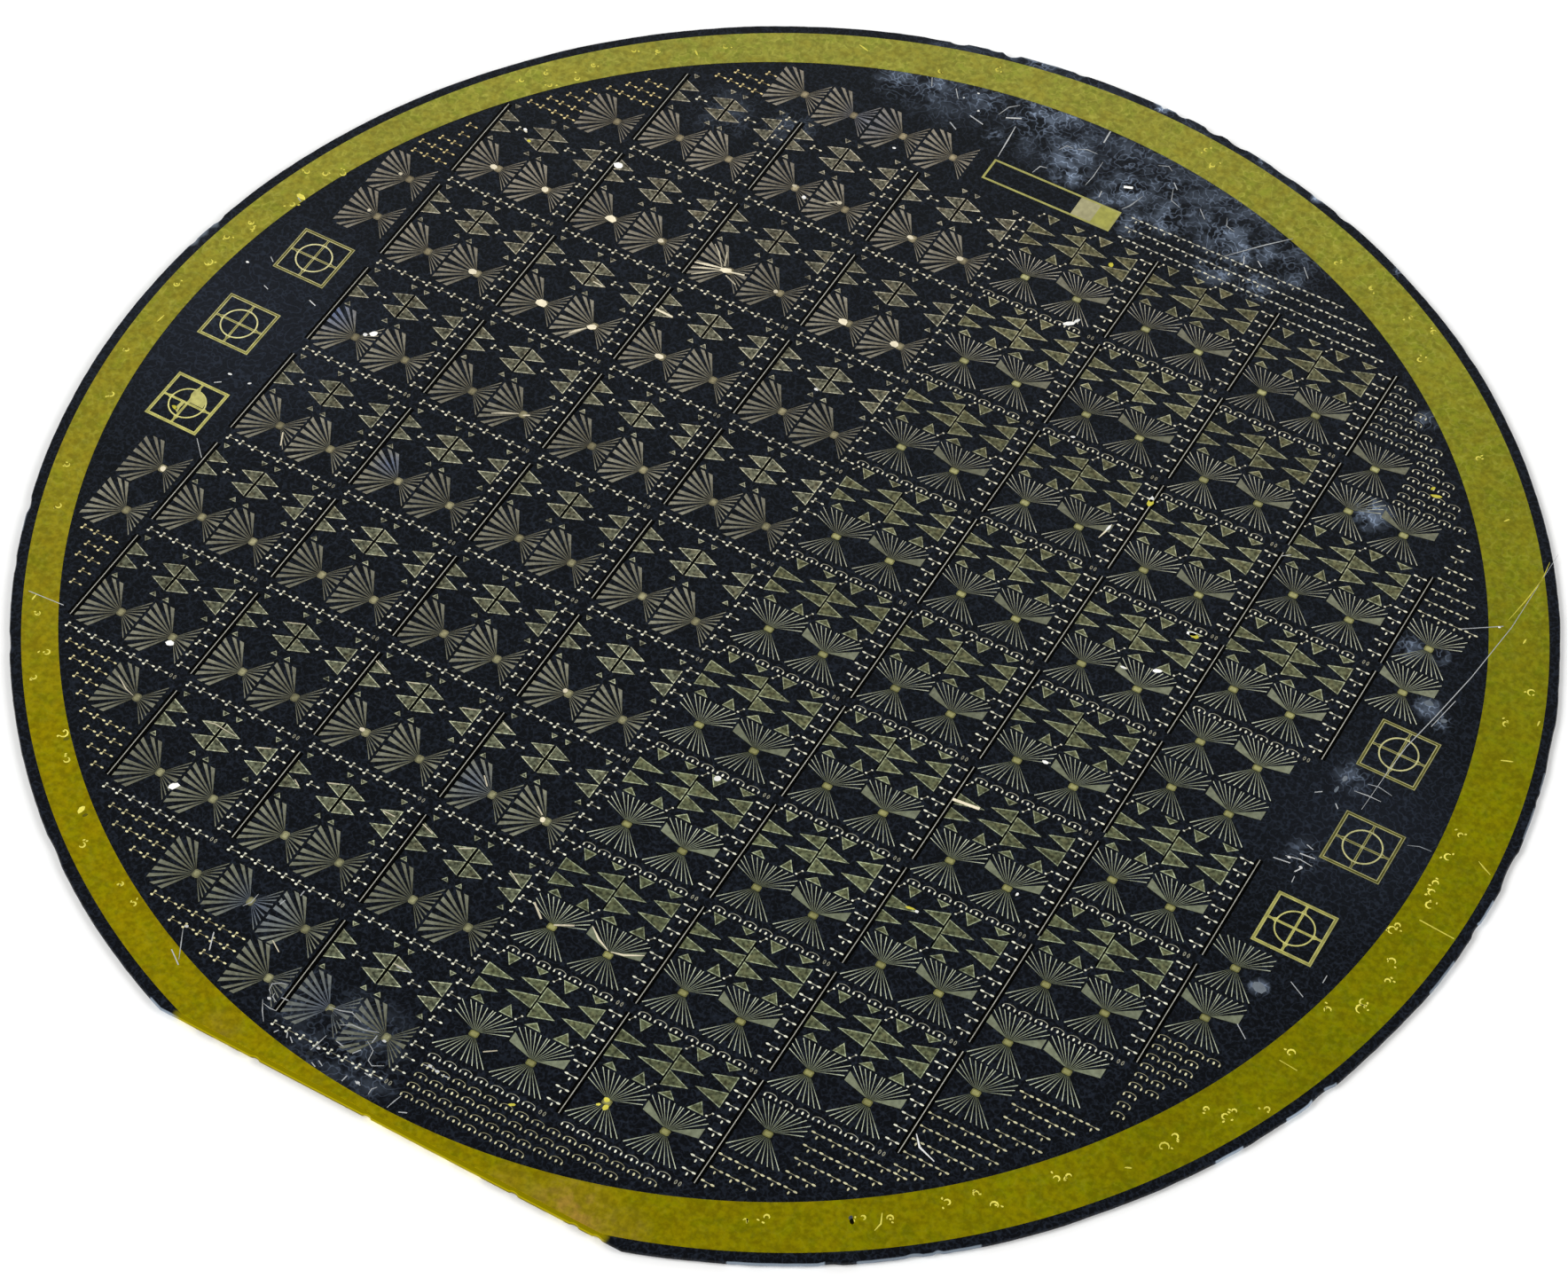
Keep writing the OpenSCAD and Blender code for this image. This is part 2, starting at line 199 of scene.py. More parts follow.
def makeCamera():
    azimuth, elevation = math.radians(viewFrom["azimuth"]), math.radians(viewFrom["elevation"])
    back = Vector((math.sin(azimuth) * math.cos(elevation), -math.cos(azimuth) * math.cos(elevation),
                   math.sin(elevation)))
    turn = (-back).to_track_quat("-Z", "Y").to_matrix().to_4x4()
    camera = addObject("camera", bpy.data.cameras.new("camera"))
    camera.data.lens = viewFrom["lens"]
    camera.data.sensor_width = viewFrom["sensor"]
    camera.data.shift_x, camera.data.shift_y = viewFrom["shift"]
    camera.data.clip_start, camera.data.clip_end = viewFrom["clip"]
    place = (Vector(viewFrom["aim"]) + back * viewFrom["distance"]) * mm
    roll = Matrix.Rotation(math.radians(viewFrom["roll"]), 4, "Z")
    camera.matrix_world = Matrix.Translation(place) @ turn @ roll
    bpy.context.scene.camera = camera


# lamps: place and size in metres, power in watts; the sky runs between two heights, 0 level and 1 overhead
studio = {"floorSize": 3.0, "floorDrop": 0.02, "floorColour": "#f6f6f5", "floorRoughness": 0.9,
          "floorSpecular": 0.1, "skyHeights": (0.45, 0.93), "skyStrengths": (1.0, 0.16),
          "lamps": {"keyLamp": ((-0.55, -0.75, 1.0), 0.7, 11.0),
                    "fillLamp": ((0.95, 0.1, 0.75), 0.6, 6.0)}}


def makeStudio():
    scene = bpy.context.scene
    scene.view_settings.view_transform = "Standard"
    world = bpy.data.worlds.new("studio")
    scene.world = world
    world.use_nodes = True
    tree = world.node_tree
    tree.nodes.clear()
    direction = addNode(tree, "ShaderNodeTexCoord")     # its first output is the direction itself
    split = addNode(tree, "ShaderNodeSeparateXYZ", inputs=(direction,))
    level = addNode(tree, "ShaderNodeMapRange", {"interpolation_type": "SMOOTHSTEP"},
                    (split.outputs["Z"], *studio["skyHeights"], *studio["skyStrengths"]))
    background = addNode(tree, "ShaderNodeBackground", inputs=((1, 1, 1, 1), level))
    addNode(tree, "ShaderNodeOutputWorld", inputs=(background,))
    for name, (place, size, power) in studio["lamps"].items():
        lamp = addObject(name, bpy.data.lights.new(name, "AREA"))
        lamp.data.shape = "DISK"
        lamp.data.size = size
        lamp.data.energy = power
        lamp.location = place
        lamp.rotation_mode = "QUATERNION"
        lamp.rotation_quaternion = (-Vector(place)).to_track_quat("-Z", "Y")
    half, z = studio["floorSize"] / 2, -studio["floorDrop"] * mm
    floorMesh = bpy.data.meshes.new("floor")
    floorMesh.from_pydata([(x, y, z) for x, y in box(-half, half, -half, half)], [], [(0, 1, 2, 3)])
    paper = bpy.data.materials.new("whitePaper")     # matt white card, a little soft at grazing light
    paper.use_nodes = True
    shader = paper.node_tree.nodes["Principled BSDF"]
    shader.inputs["Base Color"].default_value = hexColour(studio["floorColour"])
    shader.inputs["Roughness"].default_value = studio["floorRoughness"]
    shader.inputs["Specular IOR Level"].default_value = studio["floorSpecular"]
    floorMesh.materials.append(paper)
    floor = addObject("floor", floorMesh)


makeCamera()
makeStudio()
print("camera, lamps and floor ready")


# the mask's layout, in mm from the mask's centre

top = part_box("silicon_wafer")[1].z / mm
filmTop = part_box("rim_film")[1].z / mm
layers = filmTop - top
# heights as shares of the drawn film, whose last tenth is left to the dark strips of painted shadow,
# scratches and dust
heights = {"film": 0.9, "shadowStrip": 0.93, "scratch": 0.97}
thick, shadowStripHeight, scratchHeight = (layers * heights[key] for key in ("film", "shadowStrip", "scratch"))

layout = {"maskX": -0.78, "maskY": -0.22, "windowRadius": 46.1, "windowFlat": -46.116, "clear": 0.05,
          "fieldX": -0.15, "fieldGap": 0.13, "half": 4.0, "dieWidth": 8.82}
# lanes of dies: column, height of row 0, first and last row
leftDie = {"height": 7.86, "streetX": 0.55, "streetY": 1.13, "hub": (2.52, 1.95), "columnX": 8.12,
           "columnTop": 7.45, "columnCount": 8, "chainX": 0.145, "chainDrop": 0.54, "chainCount": 8,
           "scribeGap": 0.27, "scribe": (0.18, 7.63, 0.34), "rowEnd": (8.3, -0.55),
           "tipPair": (1.633, 5.948), "lanes": [(c, -7.94, -6, 6) for c in range(6)]}
rightDie = {"height": 7.84, "streetX": 0.48, "streetY": 0.9, "hub": (1.93, 1.93), "columnX": 8.46,
            "columnTop": 7.41, "columnCount": 8, "chainX": (0.79, 0.47), "chainMovesAt": (-2, 7, 15, 9, 9),
            "chainDrop": 0.63, "chainStep": 1.1, "chainCount": 7, "scribeGap": 0.27,
            "scribe": (-0.14, 7.86, 0.29), "rowEnd": (8.33, -0.62),
            "hooks": [((0.32, 7.78), (0.11, 7.44)), ((4.327, 7.777), (4.103, 7.427)),
                      ((3.527, 4.043), (3.76, 4.41)), ((7.477, 4.077), (7.74, 4.393))],
            "lanes": [(0, 2.67, -9, 9), (1, 2.67, -9, 9), (2, 1.65, -9, 9), (3, 4.75, 0, 9),
                      (3, -12.03, -9, 0)]}
marks = {"side": 4.06, "line": 0.23, "lineEdge": 0.06, "cross": 0.17, "armEnd": 0.09, "hub": 0.26,
         "armSwell": ((-0.12, 0.085), (0, 0.17), (0.22, 0.07)), "circle": 2.6, "circleLine": 0.1,
         "circleCorners": 40, "pitch": 7.52, "inset": 4.06, "endStep": 1.03, "rightDrop": 0.1,
         # the line's rims are painted brighter than its middle, as highlights
         "lineLayers": ((1, 0.5), (0.8, 0), (1, 0.75)),     # high share and shine, from the outside in
         "armLayers": ((0, 0.85, 0.55, 1), (0.8, 0.95, 0, 0.4)), "hubShine": 0.7}
label = {"x": -0.18, "inset": 7.6, "width": 10.0, "height": 2.05, "line": 0.16, "block": 3.05,
         "lineShine": 0.3, "blockLook": (0.9, 1), "fieldLook": (0.85, 0.1)}

# hub of the first fan, number of fans
leftLoneFans = [(-19.8, 38.12, 4), (-29.87, 29.07, 1), (-39.4, 17, 1), (-39.4, 12.95, 1),
                (-39.2, -12.92, 1), (-39.2, -16.98, 1), (-29.82, -28.98, 1), (-18.96, -38.02, 3),
                (-10.92, -42.02, 1)]
# hub of the first fan, number of fans, whether the first one has beams
rightLoneFans = [(29.86, 27.62, 1, True), (29.86, 23.52, 2, False), (29.76, 1.96, 2, False),
                 (29.76, -2.08, 2, False), (29.68, -23.58, 2, True), (29.68, -27.58, 1, False),
                 (39.18, 15.92, 1, False), (39.18, 11.92, 1, True), (39.14, -12.02, 1, False),
                 (39.12, -16.08, 1, True), (20.43, -36.18, 1, False)]
# rows near the ring. Pockets: inner end, height of the first row, number of rows. Inset of the first device,
# pitch along the row and between rows, reach of a device, room towards the ring, share left free
dotRows = {"inset": 0.62, "pitch": 1.0, "rowPitch": 1.0, "reach": 0.75, "room": 0.6, "free": 0.45,
           "pockets": [(-22.5, 38.62, 3), (-28.5, 33.62, 3), (-32.6, 30.62, 4), (-38.1, 23.52, 5),
                       (-38.2, -19.48, 5), (-32.6, -27.48, 4), (-28.6, -31.48, 4), (-21.8, -36.48, 3),
                       (-13.8, -40.48, 3)]}
teeRows = {"inset": 0.48, "pitch": 1.1, "rowPitch": 1.02, "reach": 0.85, "room": 0.5, "free": 0.7,
           "pockets": [(5.6, 39.47, 3), (18.8, 36.42, 1), (37.25, 24.52, 7), (31.85, -26.13, 4),
                       (27.8, -30.13, 5), (22.55, -34.73, 4), (18.55, -38.73, 3)]}
archRows = {"inset": 0.48, "pitch": 1.1, "rowPitch": 0.76, "reach": 0.95, "room": 0.4, "free": 0.8,
            "pockets": [(27.9, 34.82, 7), (32, 29.57, 6), (37.2, -18.63, 9), (0.25, -42.43, 4)]}


def boxRound(centre, width, height):
    return (centre[0] - width / 2, centre[0] + width / 2, centre[1] - height / 2, centre[1] + height / 2)


def insideWindow(left, right, bottom, top):
    reach = math.hypot(max(abs(left), abs(right)), max(abs(bottom), abs(top)))
    return (reach <= layout["windowRadius"] - layout["clear"]
            and bottom >= layout["windowFlat"] + layout["clear"])


def apart(a, b):
    gap = layout["clear"]
    return a[1] + gap <= b[0] or b[1] + gap <= a[0] or a[3] + gap <= b[2] or b[3] + gap <= a[2]


markMiddleX = layout["windowRadius"] - marks["inset"]
markCentres = [(side * (markMiddleX - (marks["endStep"] if row else 0)),
                row * marks["pitch"] - (marks["rightDrop"] if side > 0 else 0))
               for side in (-1, 1) for row in (-1, 0, 1)]
labelCentre = (label["x"], layout["windowRadius"] - label["inset"])
keptFree = [boxRound(centre, marks["side"], marks["side"]) for centre in markCentres]
keptFree.append(boxRound(labelCentre, label["width"], label["height"]))


def dieLanes(die, firstX, side):            # side is -1 for columns that go to the left
    pitchX, pitchY = layout["dieWidth"] + die["streetX"], die["height"] + die["streetY"]
    lanes = []
    for c, y, low, high in die["lanes"]:
        lane = []
        for r in range(low, high + 1):
            at = firstX + side * c * pitchX, y + r * pitchY
            area = (at[0], at[0] + layout["dieWidth"], at[1], at[1] + die["height"])
            if insideWindow(*area) and all(apart(area, other) for other in keptFree):
                lane.append(at)
        if lane:
            lanes.append(lane)
    return lanes


leftLanes = dieLanes(leftDie, layout["fieldX"] - layout["fieldGap"] / 2 - layout["dieWidth"], -1)
rightLanes = dieLanes(rightDie, layout["fieldX"] + layout["fieldGap"] / 2, 1)
leftDies, rightDies = ([at for lane in lanes for at in lane] for lanes in (leftLanes, rightLanes))
print(len(leftDies), "left dies and", len(rightDies), "right dies")


# node trees that repeat and spread shapes

def newTree(name, inputs):
    tree = bpy.data.node_groups.new(name, "GeometryNodeTree")
    for title, kind in inputs.items():
        tree.interface.new_socket(name=title, in_out="INPUT", socket_type="NodeSocket" + kind)
    tree.interface.new_socket(name="Geometry", in_out="OUTPUT", socket_type="NodeSocketGeometry")
    return tree, addNode(tree, "NodeGroupInput").outputs


def evaluated(name, mesh, tree, values):    # the mesh after the tree, as a plain mesh
    thing = addObject(name, mesh)
    modifier = thing.modifiers.new(name, "NODES")
    modifier.node_group = tree
    sockets = {item.name: item.identifier for item in tree.interface.items_tree
               if item.in_out == "INPUT"}
    for key, value in values.items():
        modifier[sockets[key]] = value
    graph = bpy.context.evaluated_depsgraph_get()
    plain = bpy.data.meshes.new_from_object(thing.evaluated_get(graph), preserve_all_data_layers=True,
                                            depsgraph=graph)
    thing.modifiers.clear()
    bpy.data.objects.remove(thing)
    plain.name = name
    return plain


mergeWithin = 0.0001                        # mm


# Rays run from a short hub line to an outline curve. A grid with two columns a ray gives the strips,
# every second strip is deleted as a gap, and the rest are raised and closed below.
def rayFanTree():
    tree, given = newTree("rayFan", {
        "Outline": "Object", "Rays": "Int", "Hub Start": "Vector", "Hub End": "Vector",
        "Root Share": "Float", "End Share": "Float", "Root Shine": "Float", "Height": "Float",
        "Finish": "Material"})
    outline = addNode(tree, "GeometryNodeObjectInfo", inputs=(given["Outline"],))
    columns = addNode(tree, "ShaderNodeMath", times, (given["Rays"], 2.0))
    grid = addNode(tree, "GeometryNodeMeshGrid", inputs=(1.0, 1.0, columns, 2))
    place = addNode(tree, "ShaderNodeSeparateXYZ", inputs=(addNode(tree, "GeometryNodeInputPosition"),))
    reach = addNode(tree, "ShaderNodeMath", plus, (place.outputs["Y"], 0.5))
    span = addNode(tree, "ShaderNodeMath", minus, (columns, 1.0))
    fromLeft = addNode(tree, "ShaderNodeMath", plus, (place.outputs["X"], 0.5))
    scaled = addNode(tree, "ShaderNodeMath", times, (fromLeft, span))
    column = addNode(tree, "ShaderNodeMath", {"operation": "ROUND"}, (scaled,))
    halfColumn = addNode(tree, "ShaderNodeMath", times, (column, 0.5))
    ray = addNode(tree, "ShaderNodeMath", {"operation": "FLOOR"}, (halfColumn,))
    # a ray's two columns lie on either side of its middle, each away by half of its share
    side = addNode(tree, "ShaderNodeMath", {"operation": "FRACT"}, (halfColumn,))
    sign = addNode(tree, "ShaderNodeMath", minus, (side, 0.25))
    share = addNode(tree, "ShaderNodeMix", inputs=(reach, given["Root Share"], given["End Share"]))
    spread = addNode(tree, "ShaderNodeMath", times, (sign, 2.0))
    offset = addNode(tree, "ShaderNodeMath", times, (spread, share))
    middle = addNode(tree, "ShaderNodeMath", plus, (ray, 0.5))
    along = addNode(tree, "ShaderNodeMath", plus, (middle, offset))
    factor = addNode(tree, "ShaderNodeMath", {"operation": "DIVIDE"}, (along, given["Rays"]))
    sample = addNode(tree, "GeometryNodeSampleCurve", {"mode": "FACTOR", "use_all_curves": True}, {
        "Curves": outline.outputs["Geometry"], "Factor": factor})
    hub = addNode(tree, "ShaderNodeMix", {"data_type": "VECTOR"},
                  (factor, given["Hub Start"], given["Hub End"]))
    point = addNode(tree, "ShaderNodeMix", {"data_type": "VECTOR"}, (reach, hub, sample.outputs["Position"]))
    shine = addNode(tree, "ShaderNodeMix", inputs=(reach, given["Root Shine"], 1.0))
    tinted = addNode(tree, "GeometryNodeStoreNamedAttribute", {"data_type": "FLOAT", "domain": "POINT"}, {
        "Geometry": grid, "Name": "shine", "Value": shine})
    placed = addNode(tree, "GeometryNodeSetPosition", inputs={"Geometry": tinted, "Position": point})
    odd = addNode(tree, "ShaderNodeMath", {"operation": "MODULO"},
                  (addNode(tree, "GeometryNodeInputIndex"), 2.0))
    rays = addNode(tree, "GeometryNodeDeleteGeometry", {"domain": "FACE"}, (placed, odd))
    lift = addNode(tree, "ShaderNodeCombineXYZ", inputs={"Z": given["Height"]})
    raised = addNode(tree, "GeometryNodeExtrudeMesh", {"mode": "FACES"}, {
        "Mesh": rays, "Offset": lift, "Offset Scale": 1.0, "Individual": False})
    below = addNode(tree, "GeometryNodeFlipFaces", inputs=(rays,))
    joined = addNode(tree, "GeometryNodeJoinGeometry", inputs=(raised,))
    tree.links.new(below.outputs["Mesh"], joined.inputs["Geometry"])
    closed = addNode(tree, "GeometryNodeMergeByDistance", inputs={
        "Geometry": joined, "Distance": mergeWithin * mm})
    real = addNode(tree, "GeometryNodeRealizeInstances", inputs=(closed,))
    coated = addNode(tree, "GeometryNodeSetMaterial", inputs={
        "Geometry": real, "Material": given["Finish"]})
    addNode(tree, "NodeGroupOutput", inputs=(coated,))
    return tree


# One unit is copied to every place, each place as the start of a row with its own number and step.
# Each copy gets a random tone.
def stepAndRepeatTree():
    tree, given = newTree("stepAndRepeat", {
        "Places": "Geometry", "Unit": "Object", "Finish": "Material", "Seed": "Int"})
    unit = addNode(tree, "GeometryNodeObjectInfo", inputs=(given["Unit"],))
    copies = addNode(tree, "GeometryNodeInputNamedAttribute", {"data_type": "INT"}, ("copies",))
    step = addNode(tree, "GeometryNodeInputNamedAttribute", {"data_type": "FLOAT_VECTOR"}, ("step",))
    repeated = addNode(tree, "GeometryNodeDuplicateElements", {"domain": "POINT"}, {
        "Geometry": given["Places"], "Amount": copies})
    travel = addNode(tree, "ShaderNodeVectorMath", {"operation": "SCALE"},
                     (step, repeated.outputs["Duplicate Index"]))
    moved = addNode(tree, "GeometryNodeSetPosition", inputs={"Geometry": repeated, "Offset": travel})
    units = addNode(tree, "GeometryNodeInstanceOnPoints", inputs={
        "Points": moved, "Instance": unit.outputs["Geometry"]})
    tone = addNode(tree, "FunctionNodeRandomValue", {"data_type": "FLOAT"}, {"Seed": given["Seed"]})
    toned = addNode(tree, "GeometryNodeStoreNamedAttribute", {"data_type": "FLOAT", "domain": "INSTANCE"}, {
        "Geometry": units, "Name": "tone", "Value": tone})
    real = addNode(tree, "GeometryNodeRealizeInstances", inputs=(toned,))
    coated = addNode(tree, "GeometryNodeSetMaterial", inputs={
        "Geometry": real, "Material": given["Finish"]})
    addNode(tree, "NodeGroupOutput", inputs=(coated,))
    return tree


trees = {"fan": rayFanTree(), "repeat": stepAndRepeatTree()}


def polyCurve(name, lines):                 # one straight spline for each line of points, in mm
    curve = bpy.data.curves.new(name, "CURVE")
    curve.dimensions = "3D"
    for line in lines:
        spline = curve.splines.new("POLY")
        spline.points.add(len(line) - 1)
        for point, (x, y) in zip(spline.points, line):
            point.co = (x * mm, y * mm, 0, 1)
    return addObject(name, curve)


def rayFan(lines, rays, hubStart, hubEnd, rootShare, endShare, rootShine, height, finish):
    outline = polyCurve("fanOutline", lines)
    bpy.context.view_layer.update()
    mesh = evaluated("fan", bpy.data.meshes.new("empty"), trees["fan"], {
        "Outline": outline, "Rays": rays, "Hub Start": [c * mm for c in (*hubStart, 0)],
        "Hub End": [c * mm for c in (*hubEnd, 0)], "Root Share": rootShare, "End Share": endShare,
        "Root Shine": rootShine, "Height": height * mm, "Finish": finish})
    bpy.data.objects.remove(outline)
    return mesh


def repeatUnit(name, unitMesh, rows, finish, seed):
    places = bpy.data.meshes.new("places")
    x0, y0 = layout["maskX"], layout["maskY"]
    places.from_pydata([((x0 + x) * mm, (y0 + y) * mm, top * mm) for (x, y), count, step in rows], [], [])
    copies = places.attributes.new("copies", "INT", "POINT")
    copies.data.foreach_set("value", [count for at, count, step in rows])
    steps = places.attributes.new("step", "FLOAT_VECTOR", "POINT")
    steps.data.foreach_set("vector", [c * mm for at, count, step in rows for c in (*step, 0)])
    unit = addObject("unit", unitMesh)
    mesh = evaluated(name, places, trees["repeat"], {"Unit": unit, "Finish": finish, "Seed": seed})
    bpy.data.objects.remove(unit)
    return mesh


def solidNormals(mesh):                     # every island is closed, so its faces can be turned outwards
    work = bmesh.new()
    work.from_mesh(mesh)
    bmesh.ops.recalc_face_normals(work, faces=work.faces)
    work.to_mesh(mesh)
    work.free()
    return mesh


def addMesh(shape, mesh):                   # a mesh goes back into a shape, in mm
    start = len(shape["points"])
    shape["points"] += [(v.co.x / mm, v.co.y / mm, v.co.z / mm) for v in mesh.vertices]
    shape["faces"] += [[start + i for i in face.vertices] for face in mesh.polygons]
    shape["shine"] += [value.value for value in mesh.attributes["shine"].data]


# finishes

colourOver = {"data_type": "RGBA"}
colourTint = {"data_type": "RGBA", "blend_type": "MULTIPLY"}
patchCore = 0.1                             # share of a patch's radius that has its full strength
wormRidge = (0.01, 0.05)                    # distance from the middle of a worm line at full and no strength
# octaves of each noise, and how much the finer ones count
detail = {"worm": (1.0,), "pebble": (3.0,), "patch": (3.0, 0.6), "mottle": (2.0, 0.6), "cloud": (3.0, 0.6)}
slopeAhead = (-0.45, 0.89, 0)               # from the flat at the right to the far left


def newMaterial(name):
    material = bpy.data.materials.new(name)
    material.use_nodes = True
    tree = material.node_tree
    tree.nodes.clear()
    return material, tree, addNode(tree, "ShaderNodeTexCoord").outputs["Object"]


def huesOf(look):                           # the colours of a look, linear
    return {key: hexColour(value) for key, value in look.items() if isinstance(value, str)}


def noiseScale(grain):                      # grain in mm
    return 1 / (grain * mm)


def patchShare(tree, coords, patches):      # patches of centre, radius and strength, in mm
    total = None
    for (x, y), radius, strength in patches:
        away = addNode(tree, "ShaderNodeVectorMath", {"operation": "DISTANCE"},
                       (coords, (x * mm, y * mm, top * mm)))
        share = addNode(tree, "ShaderNodeMapRange",
                        inputs=(away, radius * mm, patchCore * radius * mm, 0, strength))
        total = share if total is None else addNode(tree, "ShaderNodeMath", largest, (total, share))
    return total


def wormLines(tree, coords, grain):         # short winding lines, grain in mm
    swirl = addNode(tree, "ShaderNodeTexNoise", inputs=(coords, noiseScale(grain), *detail["worm"]))
    centred = addNode(tree, "ShaderNodeMapRange", inputs=(swirl, 0, 1, -0.5, 0.5))
    ridge = addNode(tree, "ShaderNodeMath", {"operation": "ABSOLUTE"}, (centred,))
    return addNode(tree, "ShaderNodeMapRange", inputs=(ridge, *wormRidge, 1, 0))


def slopeShare(tree, coords, low, high):    # 0 at low and 1 at high, in mm along the slope
    slope = addNode(tree, "ShaderNodeVectorMath", {"operation": "DOT_PRODUCT"}, (coords, slopeAhead))
    return addNode(tree, "ShaderNodeMapRange", inputs=(slope, low * mm, high * mm, 0, 1))


def closeFinish(tree, look, colour, metal, roughness, relief):      # relief drives the bump
    bump = addNode(tree, "ShaderNodeBump", inputs={
        "Strength": look["bump"], "Distance": look["bumpDepth"] * mm, "Height": relief})
    shader = addNode(tree, "ShaderNodeBsdfPrincipled", inputs={
        "Base Color": colour, "Metallic": metal, "Roughness": roughness,
        "Specular IOR Level": look["specular"], "Normal": bump})
    if "ior" in look:
        shader.inputs["IOR"].default_value = look["ior"]
    addNode(tree, "ShaderNodeOutputMaterial", inputs=(shader,))


# Thin metal film, sputtered and then etched through a mask: satin, a little grainy, each die a shade
# lighter or darker than the next, dull where fine lines crowd together and pale on the contact pads.
# The film's own grain is far too fine to see, so it is drawn as coarse as it needs to show.
# Shine runs from dull at 0 to bright at 1, and below 0 it darkens towards black, used for painted shadow such
# as the dark strips beside the scribe lines.
def filmFinish(name, look):
    material, tree, coords = newMaterial(name)
    hue = huesOf(look)
    shine = addNode(tree, "ShaderNodeAttribute", {"attribute_name": "shine"}).outputs["Fac"]
    tone = addNode(tree, "ShaderNodeAttribute", {"attribute_name": "tone"}).outputs["Fac"]
    colour = addNode(tree, "ShaderNodeMix", colourOver, (shine, hue["dull"], hue["bright"]))
    stain = addNode(tree, "ShaderNodeTexNoise", inputs=(coords, noiseScale(look["stainGrain"])))
    stained = addNode(tree, "ShaderNodeMapRange", inputs=(stain, *look["stainWhere"], 0, look["stain"]))
    colour = addNode(tree, "ShaderNodeMix", colourOver, (stained, colour, hue["stainColour"]))
    # the colour is multiplied by a cast from the near right to the far left: partly the film's own hue,
    # partly painted light and shade as reflections fall across the wafer
    slope = slopeShare(tree, coords, *look["castAndShadeAt"])
    castAndShade = addNode(tree, "ShaderNodeMix", colourOver, (slope, hue["nearCastAndShade"], hue["farCastAndShade"]))
    colour = addNode(tree, "ShaderNodeMix", colourTint, (1.0, colour, castAndShade))
    if look["tints"]:
        tint = patchShare(tree, coords, look["tints"])
        colour = addNode(tree, "ShaderNodeMix", colourOver, (tint, colour, hue["tintColour"]))
    # below 0 the shine darkens towards black: painted shadow
    depth = addNode(tree, "ShaderNodeMapRange", inputs=(shine, *look["shadowStripShade"]))
    dieShade = addNode(tree, "ShaderNodeMapRange",
                       inputs=(tone, 0, 1, 1 - look["toneSpread"], 1 + look["toneSpread"]))
    grain = addNode(tree, "ShaderNodeTexNoise", inputs=(coords, noiseScale(look["grain"])))
    grainShade = addNode(tree, "ShaderNodeMapRange",
                         inputs=(grain, *look["grainEnds"], 1 - look["grainSpread"], 1 + look["grainSpread"]))
    shade = addNode(tree, "ShaderNodeMath", times, (dieShade, grainShade))
    shade = addNode(tree, "ShaderNodeMath", times, (shade, depth))
    shaded = addNode(tree, "ShaderNodeVectorMath", {"operation": "SCALE"}, (colour, shade))
    # painted shadow turns to a black metal, which gives nothing back
    metal = addNode(tree, "ShaderNodeMapRange", inputs=(shine, *look["shadowStripMetal"], 1, look["metal"]))
    closeFinish(tree, look, shaded, metal, look["roughness"], grain)
    return material


# what a film has unless its own look says otherwise; grains and depths in mm, casts, which carry painted
# light and shade, at mm along the slope
filmBase = {"toneSpread": 0.16, "grain": 0.3, "grainEnds": (0.32, 0.68), "grainSpread": 0.2, "metal": 0.7,
            "roughness": 0.42, "specular": 0.2, "bump": 0.3, "bumpDepth": 0.004, "stain": 0.25,
            "stainGrain": 0.5, "stainWhere": (0.45, 0.7), "stainColour": "#6f6048", "castAndShadeAt": (-25, 35),
            "nearCastAndShade": "#ffffff", "farCastAndShade": "#ffffff", "tints": [], "tintColour": "#ffffff",
            "shadowStripShade": (-1, -0.01, 0.02, 1), "shadowStripMetal": (-1, -0.5)}
padBase = {**filmBase, "grain": 0.2, "metal": 0.6, "roughness": 0.4}
contactBase = {**filmBase, "toneSpread": 0.2, "grain": 0.2, "grainSpread": 0.15, "metal": 0.5,
               "roughness": 0.36, "stain": 0.1}
wearBase = {**filmBase, "toneSpread": 0.0, "grainSpread": 0.1, "stain": 0.0, "roughness": 0.5}
brownish, greenish = "#fff7f2", "#f6ffec"       # casts of the film at the far left and at the near right: partly the film's own hue, partly painted light and shade as reflections fall across the wafer
